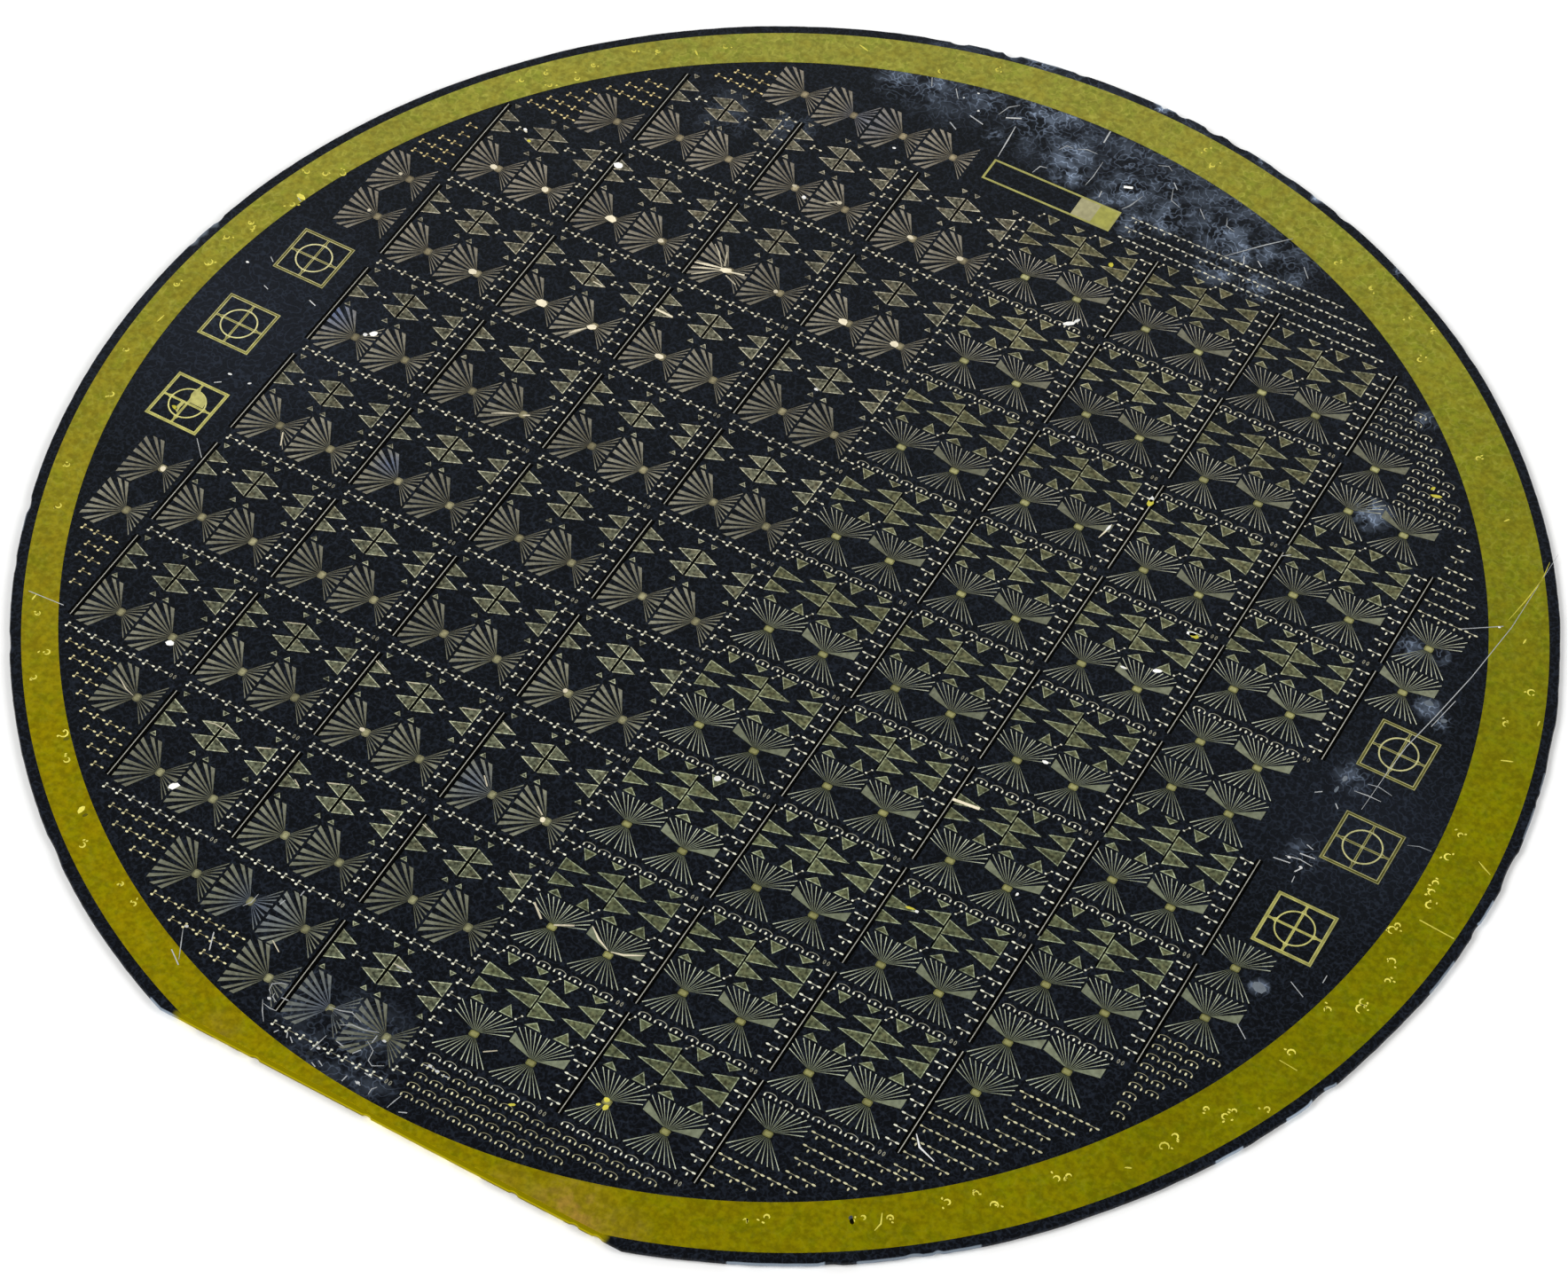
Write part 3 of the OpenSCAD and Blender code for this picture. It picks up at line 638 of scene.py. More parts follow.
filmLook = {
    "leftRays": {**filmBase, "dull": "#5c5b50", "bright": "#a3a195", "grainSpread": 0.22,
                 "nearCastAndShade": "#e3eadb", "farCastAndShade": "#fdf5ee", "tintColour": "#5f739f",
                 "tints": [((-38, 4), 2.2, 0.8), ((-20, -21), 2.5, 0.3), ((-27.3, -5.2), 1.4, 0.6),
                           ((-15.5, 38), 2.5, 0.35), ((-15, -38.5), 3, 0.45), ((-9, -24), 2.0, 0.4),
                           ((-8, -42), 4, 0.35)]},
    "leftSpikes": {**filmBase, "dull": "#6d6e5f", "bright": "#cecdb8", "grain": 0.24, "grainSpread": 0.75,
                   "stain": 0.35, "nearCastAndShade": greenish, "farCastAndShade": brownish},
    "rightRays": {**filmBase, "dull": "#50553a", "bright": "#f5f4e8", "stain": 0.15,
                  "nearCastAndShade": greenish, "farCastAndShade": "#dcd3cd"},
    "rightSpikes": {**filmBase, "dull": "#696b55", "bright": "#b9bca5", "toneSpread": 0.14, "grain": 0.24,
                    "grainSpread": 0.65, "stain": 0.35, "stainColour": "#8a805f", "nearCastAndShade": greenish,
                    "farCastAndShade": "#fff4e6"},
    "leftPads": {**padBase, "dull": "#6d6853", "bright": "#aba486", "toneSpread": 0.25,
                 "nearCastAndShade": greenish, "farCastAndShade": brownish},
    "rightPads": {**padBase, "dull": "#74733f", "bright": "#bdba88", "toneSpread": 0.2,
                  "grainSpread": 0.15, "stain": 0.1, "nearCastAndShade": "#dfe0c8"},
    "contacts": {**contactBase, "dull": "#5f5b48", "bright": "#fbf9ea", "toneSpread": 0.12, "metal": 0.4,
                 "stain": 0.05, "nearCastAndShade": "#fafcf4", "farCastAndShade": "#eee8da"},
    "edgeContacts": {**contactBase, "dull": "#5a5233", "bright": "#f2eab6", "farCastAndShade": "#fff0dc"},
    "paleContacts": {**contactBase, "dull": "#5a5544", "bright": "#e9e6d3", "nearCastAndShade": "#fcfade"},
    "lines": {**filmBase, "dull": "#6b6b62", "bright": "#c6c5b9", "toneSpread": 0.1, "grainSpread": 0.15},
    "marks": {**filmBase, "dull": "#6d692d", "bright": "#fff9c4", "toneSpread": 0.05, "grain": 0.5,
              "roughness": 0.4, "stain": 0.3, "stainColour": "#b9b37a", "stainGrain": 1.2,
              "nearCastAndShade": "#d9dcc6", "farCastAndShade": "#fffdf2", "tintColour": "#e8e380",
              "tints": [((-41.7, -8.5), 11, 0.62), ((40, -8), 6, 0.6)]},
    "label": {**filmBase, "dull": "#bab858", "bright": "#c0ba8e", "toneSpread": 0.0, "grain": 0.4,
              "grainSpread": 0.12, "roughness": 0.4, "stain": 0.1},
    "dust": {**wearBase, "dull": "#5c646c", "bright": "#f6f5ef", "metal": 0.0, "roughness": 0.6},
    "worn": {**wearBase, "dull": "#6c6757", "bright": "#efe4c6", "metal": 0.1},
    # the rim film's smears, and its flashes, which are painted highlights
    "ringMarksAndFlashes": {**wearBase, "dull": "#a9a224", "bright": "#f2e766", "metal": 0.3}}
films = {key: filmFinish(key + "Film", look) for key, look in filmLook.items()}


# grains, ends and depths in mm; a range ends with the two shares it gives
# near to far: paler and greener, partly the film's own colour and partly painted light; right: a painted
# shade, darker and greener towards the right
ringLook = {"near": "#ab9d00", "far": "#acaa46", "slope": (-15, 48), "metal": 0.92, "roughness": 0.45,
            "specular": 0.2, "bump": 0.4, "bumpDepth": 0.01, "grain": 0.35,
            "grainShade": (0.35, 0.65, 0.8, 1.2), "cloud": 9.0, "cloudShade": (0.3, 0.7, 0.95, 1.05),
            "patch": 1.2, "green": "#f3ffee", "greenWhere": (0.52, 0.62, 0, 0.8), "gold": "#fff7e9",
            "goldWhere": (0.48, 0.38, 0, 0.8), "right": "#e3f1e0", "rightShadeEnds": (5, 46),
            "worm": 0.7, "wormColour": "#d0cb5e", "wormPatch": (0.4, 0.55, 0.1, 0.45),
            "wormFar": (0.1, 0.8, 0.1, 1), "scuff": "#bf9c3c", "scuffPatch": (0.45, 0.6, 0.25, 1),
            "scuffs": [((12.3, -47), 3.6, 1.2), ((8.2, -46.8), 1.5, 0.8), ((15.6, -46.2), 2.0, 0.7),
                       ((-12.2, -46.6), 1.6, 0.5)]}


# The same film, left plain round the rim: olive gold, satin, with a fine pebbled grain, patches that
# lean to green or gold, and faint clouds. Towards the far side it turns paler and greener, partly the
# film's own colour and partly painted light; towards the right it darkens a little and leans green, a
# painted shade. Thin worm lines show at the far side, and by the flat it is scuffed towards brown.
def ringFinish():
    material, tree, coords = newMaterial("rimFilm")
    hue = huesOf(ringLook)
    # paler and greener towards the far side: partly the film's own colour, partly painted light
    far = slopeShare(tree, coords, *ringLook["slope"])
    colour = addNode(tree, "ShaderNodeMix", colourOver, (far, hue["near"], hue["far"]))
    patch = addNode(tree, "ShaderNodeTexNoise",
                    inputs=(coords, noiseScale(ringLook["patch"]), *detail["patch"]))
    # towards the right the colour is multiplied darker and greener: painted shade
    across = addNode(tree, "ShaderNodeSeparateXYZ", inputs=(coords,)).outputs["X"]
    rightShadeEnds = [end * mm for end in ringLook["rightShadeEnds"]]
    for value, ends, tint in ((patch, ringLook["greenWhere"], "green"),
                              (patch, ringLook["goldWhere"], "gold"),
                              (across, (*rightShadeEnds, 0, 1), "right")):
        share = addNode(tree, "ShaderNodeMapRange", inputs=(value, *ends))
        colour = addNode(tree, "ShaderNodeMix", colourTint, (share, colour, hue[tint]))
    worms = wormLines(tree, coords, ringLook["worm"])
    for value, ends in ((patch, ringLook["wormPatch"]), (far, ringLook["wormFar"])):
        share = addNode(tree, "ShaderNodeMapRange", inputs=(value, *ends))
        worms = addNode(tree, "ShaderNodeMath", times, (worms, share))
    colour = addNode(tree, "ShaderNodeMix", colourOver, (worms, colour, hue["wormColour"]))
    share = addNode(tree, "ShaderNodeMapRange", inputs=(patch, *ringLook["scuffPatch"]))
    scuffed = addNode(tree, "ShaderNodeMath", times, (patchShare(tree, coords, ringLook["scuffs"]), share))
    colour = addNode(tree, "ShaderNodeMix", colourOver, (scuffed, colour, hue["scuff"]))
    grain, cloud = (addNode(tree, "ShaderNodeTexNoise",
                            inputs=(coords, noiseScale(ringLook[key]), *detail["pebble"]))
                    for key in ("grain", "cloud"))
    shade = addNode(tree, "ShaderNodeMath", times, (
        addNode(tree, "ShaderNodeMapRange", inputs=(grain, *ringLook["grainShade"])),
        addNode(tree, "ShaderNodeMapRange", inputs=(cloud, *ringLook["cloudShade"]))))
    shaded = addNode(tree, "ShaderNodeVectorMath", {"operation": "SCALE"}, (colour, shade))
    closeFinish(tree, ringLook, shaded, ringLook["metal"], ringLook["roughness"], grain)
    return material


# the pale colour of the wall is a painted sheen, the pale colour of the chipped top edge is partly painted
# glints, and the pale yellow on the gilt wall is a painted highlight
siliconLook = {"near": "#06080c", "far": "#060a0e", "slope": (-45, 45), "bare": "#13171e",
               "mottle": "#191e27", "mottleGrain": 0.24, "mottleWhere": (0.5, 0.72, 0, 1),
               "worm": "#2b3340", "wormGrain": 0.6, "wormStrength": (0.22, 0.5), "residue": "#a2b4ce",
               "cloudGrain": 1.5, "cloudVeil": (0.43, 0.62, 0.0, 0.38), "cloudWorms": (0.4, 0.6, 0.25, 0.95),
               "wall": "#a3aebb", "chippedAndGlint": "#8d9aa8", "lap": "#ab9d00", "lapEdge": "#78690c",
               "lapHighlight": "#fff3a8", "lapDrop": (0.02, 0.12), "lapMetal": 0.92, "lapRoughness": 0.45,
               "roughness": 0.16, "residueRoughness": 0.6, "ior": 1.45, "specular": 0.2, "bump": 0.15,
               "bumpDepth": 0.004}
# the plain silicon beside the dies is a shade paler: centre, radius and strength, in mm on the wafer
barePatches = [
    ((-43, 0), 13, 1.0), ((41, 1), 9, 0.8), ((-12, 46), 6, 0.8), ((0, 47), 7, 0.8), ((11, 46), 6, 0.8)]
# centre, radius and strength of each dried patch, in mm on the wafer; the last seven, at the very rim, are
# painted glints
residueAndGlintPatches = [
    ((-15.5, 42.6), 2.2, 0.5), ((-13.4, 43.4), 2.4, 0.6), ((-9.2, 44.0), 1.8, 0.6), ((-5, 44.4), 3.0, 0.75),
    ((-3.4, 45.2), 2.2, 0.55), ((-1.6, 42.2), 2.3, 0.85), ((-0.8, 40.9), 1.7, 0.9),
    ((-7.2, 41.2), 0.9, 0.6), ((2.1, 43.9), 1.7, 0.6), ((3.4, 41.6), 2.2, 0.75), ((5.4, 43.1), 2.2, 0.5),
    ((2.4, 39.9), 1.3, 0.5), ((7.1, 40.7), 2.2, 0.7), ((10.9, 41.1), 2.4, 0.75), ((12.3, 40.2), 2.0, 0.7),
    ((14.3, 41.2), 1.4, 0.6), ((16, 41), 1.2, 0.5), ((17.2, 39.9), 1.0, 0.45), ((12, 38), 1.8, 0.6),
    ((15, 37.9), 1.6, 0.65), ((5, 38.8), 1.6, 0.6), ((-5, -43.5), 4.0, 0.25), ((-9, -42.4), 2.5, 0.2),
    ((-2, -45), 1.5, 0.25), ((30.6, 23.8), 1.6, 0.8), ((30.3, 33), 1.0, 0.6), ((37.2, 15.3), 1.3, 0.5),
    ((39.3, 15.5), 0.8, 0.6), ((40.3, 11.5), 1.1, 0.7), ((41.5, 10.8), 0.9, 0.6),
    ((40.2, -12.7), 0.75, 0.8), ((38.6, 4.2), 1.6, 0.35), ((38.4, -2.6), 1.6, 0.3), ((6, 39.4), 1.0, 0.4),
    ((-24.5, 33.5), 3.0, 0.18), ((-19.8, 34.5), 2.2, 0.2), ((-12, 44.5), 5, 0.25), ((-4, 45.5), 6, 0.3),
    ((3, 45), 6, 0.3), ((10, 44), 5.5, 0.3), ((16, 42), 4, 0.25), ((1.9, 49.85), 0.7, 2.4),
    ((3.6, 49.8), 0.5, 1.2), ((-7.5, 49.4), 1.4, 0.8), ((-9.6, 49.1), 0.8, 0.7), ((15.2, 47.4), 0.5, 1.2),
    ((10.3, 48.7), 0.4, 1.0), ((23, 44.1), 0.5, 0.8)]


# Single-crystal silicon, ground at the edge and mirror-polished on the face: near black with a cold cast
# and a fine worm-like mottle, clouded where rinse water dried, pale and glassy where the edge has chipped.
# Stretches of the edge also carry painted glints, and their wall a pale painted sheen. Along the flat the
# sputtered film has crept over the edge and gilds the wall, with a painted highlight on part of it. The
# polish's own texture is too fine to see, so the mottle is drawn as coarse as it needs to show.
def siliconFinish():
    material, tree, coords = newMaterial("polishedSilicon")
    hue = huesOf(siliconLook)
    wall, chippedAndGlint, lap = (addNode(tree, "ShaderNodeAttribute", {"attribute_name": name}).outputs["Fac"]
                         for name in ("wall", "chippedAndGlint", "lap"))
    far = slopeShare(tree, coords, *siliconLook["slope"])
    colour = addNode(tree, "ShaderNodeMix", colourOver, (far, hue["near"], hue["far"]))
    bare = patchShare(tree, coords, barePatches)
    mottle = addNode(tree, "ShaderNodeTexNoise",
                     inputs=(coords, noiseScale(siliconLook["mottleGrain"]), *detail["mottle"]))
    speckled = addNode(tree, "ShaderNodeMapRange", inputs=(mottle, *siliconLook["mottleWhere"]))
    worms = wormLines(tree, coords, siliconLook["wormGrain"])
    strength = addNode(tree, "ShaderNodeMapRange", inputs=(bare, 0, 1, *siliconLook["wormStrength"]))
    wormed = addNode(tree, "ShaderNodeMath", times, (worms, strength))
    cloud = addNode(tree, "ShaderNodeTexNoise",
                    inputs=(coords, noiseScale(siliconLook["cloudGrain"]), *detail["cloud"]))
    veil = addNode(tree, "ShaderNodeMapRange", inputs=(cloud, *siliconLook["cloudVeil"]))
    clouded = addNode(tree, "ShaderNodeMapRange", inputs=(cloud, *siliconLook["cloudWorms"]))
    lines = addNode(tree, "ShaderNodeMath", times, (worms, clouded))
    veil = addNode(tree, "ShaderNodeMath", largest, (veil, lines))
    residue = addNode(tree, "ShaderNodeMath", times, (patchShare(tree, coords, residueAndGlintPatches), veil))
    # the wall and the chipped top edge turn pale where stretches carry painted sheen and glints
    for share, cover in ((bare, "bare"), (speckled, "mottle"), (wormed, "worm"), (residue, "residue"),
                         (wall, "wall"), (chippedAndGlint, "chippedAndGlint")):
        colour = addNode(tree, "ShaderNodeMix", colourOver, (share, colour, hue[cover]))
    height = addNode(tree, "ShaderNodeSeparateXYZ", inputs=(coords,)).outputs["Z"]
    lapEnds = [(top - drop) * mm for drop in siliconLook["lapDrop"]]
    low = addNode(tree, "ShaderNodeMapRange", inputs=(height, *lapEnds, 0, 1))
    gilt = addNode(tree, "ShaderNodeMix", colourOver, (low, hue["lap"], hue["lapEdge"]))
    # along the flat, where the wall is pale, the gilt turns to a painted highlight
    gilt = addNode(tree, "ShaderNodeMix", colourOver, (wall, gilt, hue["lapHighlight"]))
    colour = addNode(tree, "ShaderNodeMix", colourOver, (lap, colour, gilt))
    dull = addNode(tree, "ShaderNodeMapRange", inputs=(
        residue, 0, 1, siliconLook["roughness"], siliconLook["residueRoughness"]))
    lapDull = addNode(tree, "ShaderNodeMath", times, (lap, siliconLook["lapRoughness"]))
    metal = addNode(tree, "ShaderNodeMath", times, (lap, siliconLook["lapMetal"]))
    roughness = addNode(tree, "ShaderNodeMath", largest, (dull, lapDull))
    closeFinish(tree, siliconLook, colour, metal, roughness, mottle)
    return material


silicon, ringFilm = siliconFinish(), ringFinish()
print("finishes ready")


# the wafer itself

wafer = {"radius": 50.0, "flat": -47.2857, "topEase": 0.07, "backBevel": 0.3, "backPower": 1.6,
         "noseHeight": 0.45, "wallHeight": 0.55, "steps": 2880, "rings": 13, "wobble": 0.05,
         "wobbleWaves": 9, "fine": 0.02, "fineWaves": 60, "biteLean": 0.2, "nickHalf": 0.28,
         "nickDepth": 0.1, "insets": (0.06, 0.12, 0.2, 0.3, 0.45, 1.4), "wallPale": 1.3, "wallWaves": 1.1,
         "wallRagged": (0.75, 0.5), "paleTaper": 3, "paleWaves": 1.7, "paleRagged": (0.75, 0.6),
         "paleLeast": 0.01, "paleSharp": 1.4,
         "lapHalf": 15.3, "lapRagged": 0.02, "lapSharp": 30, "lapReach": 0.05}
ring = {"radius": 49.2, "flat": -46.9357, "steps": 720}
# bites out of the edge: angle from +X, half of the width in degrees, depth in mm
rimBites = [
    (-57.2, 0.8, 0.1), (-51.6, 0.6, 0.1), (-50, 0.3, 0.1), (-36, 6, 0.09), (-25, 2, 0.06),
    (-20.6, 1.2, 0.2), (-14, 5, 0.1), (-2.6, 0.7, 0.12), (3.2, 1.8, 0.19), (9.8, 0.5, 0.06),
    (14.5, 2.2, 0.1), (22.5, 4, 0.07), (52.5, 1, 0.04), (69.5, 0.8, 0.13), (72.3, 0.5, 0.08),
    (76, 1.2, 0.1), (80.6, 1, 0.17), (83, 0.8, 0.23), (86, 0.6, 0.18), (87.7, 0.25, 0.18), (95.2, 0.6, 0.1),
    (101.3, 0.75, 0.31), (102.7, 0.6, 0.1), (105.8, 0.8, 0.2), (107.5, 1.2, 0.08), (172, 0.6, 0.12),
    (175, 0.5, 0.06), (203.6, 0.8, 0.12), (209.3, 0.8, 0.07), (216.5, 1, 0.08), (235.5, 1.5, 0.1)]
flatNicks = [-9.25, -1.32, 8.85, 13.03, 14.57]      # where along the flat, in mm
# stretches of the upper edge that have lost their dark skin, and painted glints with a pale painted sheen
# on the wall below them: angle from, angle to, reach in mm, strength
paleEdgesAndGlints = [
    (-64, -57.6, 0.12, 0.6), (-55.5, -47, 0.08, 0.5), (-29.8, -27.6, 0.1, 0.8), (-23.8, -21.4, 0.14, 0.9),
    (-20.2, -19.2, 0.08, 0.6), (-9, -5.8, 0.08, 0.5), (-2.2, 0.2, 0.13, 0.7), (6, 9, 0.08, 0.35),
    (10.6, 12.2, 0.12, 0.3), (52.4, 54.4, 0.1, 0.15), (71.2, 73.2, 0.25, 0.35), (77, 79.6, 0.12, 0.25),
    (86.4, 88.6, 0.3, 0.7), (96, 100.8, 0.3, 0.4), (101.4, 107, 0.15, 0.25), (171.8, 176, 0.45, 0.4),
    (203.8, 206.2, 0.12, 0.35), (250, 254, 0.1, 0.7), (255.4, 256.8, 0.02, 0.35), (257.6, 258.6, 0.02, 0.4),
    (268, 278, 0.02, 0.8), (283.2, 284.6, 0.02, 0.4), (286.4, 287.6, 0.02, 0.35)]


def turnBetween(angle, other):              # degrees from one angle to another, the short way
    return abs((angle - other + 180) % 360 - 180)


def anglesWithFlat(outline):                # evenly spaced, and one more at each end of the flat
    angles = [360 * i / outline["steps"] - 180 for i in range(outline["steps"])]
    corner = math.degrees(math.asin(outline["flat"] / outline["radius"]))
    return sorted(angles + [corner, -180 - corner])


def rimRadius(angle, height):               # height runs from -1 at the back to 1 at the top
    turn = math.radians(angle)
    ahead = Vector((math.cos(turn), math.sin(turn), 0))
    waves = (wafer["wobble"] * (0.5 + noise.noise(ahead * wafer["wobbleWaves"]))
             + wafer["fine"] * noise.noise(ahead * wafer["fineWaves"]))
    radius = wafer["radius"] - max(0.0, waves)
    bite = 0.0
    for biteAngle, width, depth in rimBites:
        away = turnBetween(angle, biteAngle) / width
        if away < 1:
            lean = 1 - wafer["biteLean"] + wafer["biteLean"] * height
            bite = max(bite, depth * (1 - away ** 2) * lean)
    radius -= bite
    if math.sin(turn) < -0.5:               # towards the flat
        x = wafer["flat"] / math.tan(turn)
        depth = 0.0
        for nick in flatNicks:
            if abs(x - nick) < wafer["nickHalf"]:
                depth = wafer["nickDepth"] * math.sqrt(1 - ((x - nick) / wafer["nickHalf"]) ** 2)
        radius = min(radius, (wafer["flat"] + depth) / math.sin(turn))
    return radius


def edgeInset(height):
    nose = wafer["noseHeight"]
    if height > nose:
        return wafer["topEase"] * ((height - nose) / (1 - nose)) ** 2
    return wafer["backBevel"] * ((nose - height) / (1 + nose)) ** wafer["backPower"]


def ragged(ends, where):                    # a number that wavers round the first end by the second
    return ends[0] + ends[1] * noise.noise(where)


def paleShare(angle, inward):               # inward is the distance from the edge, in mm
    share = 0.0
    for low, high, reach, strength in paleEdgesAndGlints:
        along = 1 - turnBetween(angle, (low + high) / 2) / ((high - low) / 2)
        if along > 0:
            waver = ragged(wafer["paleRagged"], Vector((angle * wafer["paleWaves"], 3, 0)))
            depth = max(wafer["paleLeast"], reach * min(1, wafer["paleTaper"] * along) * waver)
            share = max(share, strength * min(1, max(0, wafer["paleSharp"] * (1 - inward / depth))))
    return share


def waferMesh():                            # rings of points up the wall, then inwards, then one on the back
    angles, levels = anglesWithFlat(wafer), wafer["rings"]
    points, faces, chippedAndGlint, wall, lap = [], [], [], [], []
    for level in range(levels):
        height = -1 + 2 * level / (levels - 1)
        for angle in angles:
            x, y = polar(rimRadius(angle, height) - edgeInset(height), angle)
            points.append((x, y, top * (height + 1) / 2))
            # along the pale stretches the wall gets a pale painted sheen, and the top near the edge a chipped
            # look with painted glints
            waver = ragged(wafer["wallRagged"], Vector(points[-1]) * wafer["wallWaves"])
            onWall, pale = height < wafer["wallHeight"], paleShare(angle, 0)
            wall.append(waver * min(1, wafer["wallPale"] * pale) if onWall else 0)
            chippedAndGlint.append(0 if onWall else pale)
    for inset in wafer["insets"]:
        for angle in angles:
            points.append((*polar(rimRadius(angle, 1) - wafer["topEase"] - inset, angle), top))
            chippedAndGlint.append(paleShare(angle, inset + wafer["topEase"]))
    for angle in angles:
        points.append((*polar(rimRadius(angle, -1) - wafer["backBevel"] - wafer["insets"][-1], angle), 0))
    count, last = len(angles), levels + len(wafer["insets"]) - 1
    back = (last + 1) * count
    for i in range(count):
        j = (i + 1) % count
        for level in range(last):
            a, b = level * count, (level + 1) * count
            faces.append([a + i, a + j, b + j, b + i])
        faces.append([back + i, back + j, j, i])
    faces.append([last * count + i for i in range(count)])
    faces.append([back + i for i in reversed(range(count))])
    for x, y, z in points:
        ends = 1 - abs(x) / wafer["lapHalf"] + wafer["lapRagged"] * noise.noise(Vector((x, z, 5)))
        gilded = y < ring["flat"] + wafer["lapReach"]
        lap.append(min(1, max(0, ends * wafer["lapSharp"])) if gilded else 0)
    mesh = bpy.data.meshes.new("silicon_disc")
    mesh.from_pydata([(x * mm, y * mm, z * mm) for x, y, z in points], [], faces)
    for name, values in (("chippedAndGlint", chippedAndGlint), ("wall", wall), ("lap", lap)):
        values += [0] * (len(points) - len(values))
        attribute = mesh.attributes.new(name, "FLOAT", "POINT")
        attribute.data.foreach_set("value", values)
    mesh.materials.append(silicon)
    mesh.update()
    return mesh


finishPiece("silicon_disc", waferMesh(), "silicon_wafer")
print("wafer made")


# the plain film round the rim

def ringOutline(centre, radius, flat):
    outline = []
    for angle in anglesWithFlat(ring):
        x, y = polar(radius, angle)
        if y < flat:
            x, y = flat / math.tan(math.radians(angle)), flat
        outline.append((centre[0] + x, centre[1] + y))
    return outline


def ringMesh():
    shape = newShape()
    window = ringOutline((layout["maskX"], layout["maskY"]), layout["windowRadius"], layout["windowFlat"])
    addFrame(shape, ringOutline((0, 0), ring["radius"], ring["flat"]), window, top, top + thick, 1)
    mesh = shapeMesh("rim_film_ring", shape)
    mesh.materials.append(ringFilm)
    return mesh


finishPiece("rim_film_ring", ringMesh(), "rim_film")
print("rim film made")


# fans

# groups of rays: their outline, number, both ends of the hub line, width share at root and end, root shine
fan = {"left": [([[(-1.08, -1.95), (-2.26, -1.95)], [(-2.52, -1.878), (-2.52, -0.092)],
                  [(-2.52, 0.092), (-2.52, 1.878)], [(-2.26, 1.95), (-1.08, 1.95)]],
                 10, (-0.22, -0.3), (-0.22, 0.3), 0.56, 0.53, 0.15),
                ([[(1.3, -0.29), (1.3, -1.79)]], 4, (0.22, -0.06), (0.22, -0.3), 0.5, 0.3, 0.3),
                ([[(1.3, 0.29), (1.3, 1.79)]], 4, (0.22, 0.06), (0.22, 0.3), 0.5, 0.3, 0.3),
                ([[(1.3, -0.17), (1.3, 0.17)]], 1, (0.22, -0.05), (0.22, 0.05), 0.7, 0.9, 0.1)],
       "right": [([[(-1.93, 0.72), (-1.93, 1.89)], [(-1.68, 1.93), (-0.07, 1.93)]],
                  7, (-0.31, 0.26), (0.0, 0.26), 0.6, 0.15, 0.15),
                 ([[(0.04, 1.93), (0.39, 1.93)]], 2, (0.0, 0.26), (0.07, 0.26), 0.6, 0.3, 0.15),
                 ([[(0.52, 1.93), (1.74, 1.93)], [(1.93, 1.89), (1.93, 0.7)]],
                  6, (0.07, 0.26), (0.31, 0.26), 0.6, 0.15, 0.15)],
       "beamed": [([[(-1.93, 0.65), (-1.93, 1.35)]], 1, (-0.31, 0.26), (-0.24, 0.26), 0.9, 1.0, 0.35),
                  ([[(-1.93, 1.55), (-1.93, 1.85)], [(-1.88, 1.93), (-0.3, 1.93)]],
                   5, (-0.24, 0.26), (-0.02, 0.26), 0.6, 0.15, 0.15),
                  ([[(-0.14, 1.93), (0.2, 1.93)]], 2, (-0.02, 0.26), (0.05, 0.26), 0.6, 0.3, 0.15),
                  ([[(0.33, 1.93), (1.88, 1.93)], [(1.93, 1.85), (1.93, 1.55)]],
                   5, (0.05, 0.26), (0.24, 0.26), 0.6, 0.15, 0.15),
                  ([[(1.93, 1.35), (1.93, 0.6)]], 1, (0.24, 0.26), (0.31, 0.26), 0.9, 1.0, 0.35)],
       "below": [([[(-1.93, -1.62), (-1.7, -1.93), (-0.09, -1.93)],
                   [(0.13, -1.93), (1.74, -1.93), (1.93, -1.66)]],
                  10, (-0.31, -0.26), (0.31, -0.26), 0.46, 0.145, 0.08)],
       "beamShine": (0.19, 0.27), "beamMiddle": 1.2, "leftPad": ((0.5, 0.6), (0.3, 0.38)),
       "rightPad": ((0.6, 0.44), (0.42, 0.28)), "padCorner": 0.18,
       "padLayers": ((0, 0.9, 0.35), (0.8, 1, 1))}         # low and high share and shine of pad and core


def fanUnit(groups, finish):
    shape = newShape()
    for group in groups:
        part = rayFan(*group, thick, films[finish])
        if group[5] == 1.0:                 # a beam has a low shine, a little more towards its end
            root, end = fan["beamShine"]
            part.attributes["shine"].data.foreach_set("value", [
                end if v.co.length > fan["beamMiddle"] * mm else root for v in part.vertices])
        addMesh(shape, part)
    return solidNormals(shapeMesh("fan", shape))


def hubUnit(size, core):                    # a contact pad with a worn, brighter middle
    shape = newShape()
    for (width, height), (low, high, shine) in zip((size, core), fan["padLayers"]):
        corner, right, up = fan["padCorner"] * height, width / 2, height / 2
        outline = [(-right + corner, -up), (right - corner, -up), (right, -up + corner), (right, up - corner),
                   (right - corner, up), (-right + corner, up), (-right, up - corner), (-right, -up + corner)]
        addPrism(shape, outline, thick * low, thick * high, shine)
    return shapeMesh("hub", shape)


def shifted(places, right, up):
    return [(x + right, y + up) for x, y in places]


def each(places, count=1, step=(0, 0)):     # a row of copies from every place on
    return [(place, count, step) for place in places]


def addRepeated(name, unit, rows, finish, seed, node):
    finishPiece(name, repeatUnit(name, unit, rows, films[finish], seed), node)


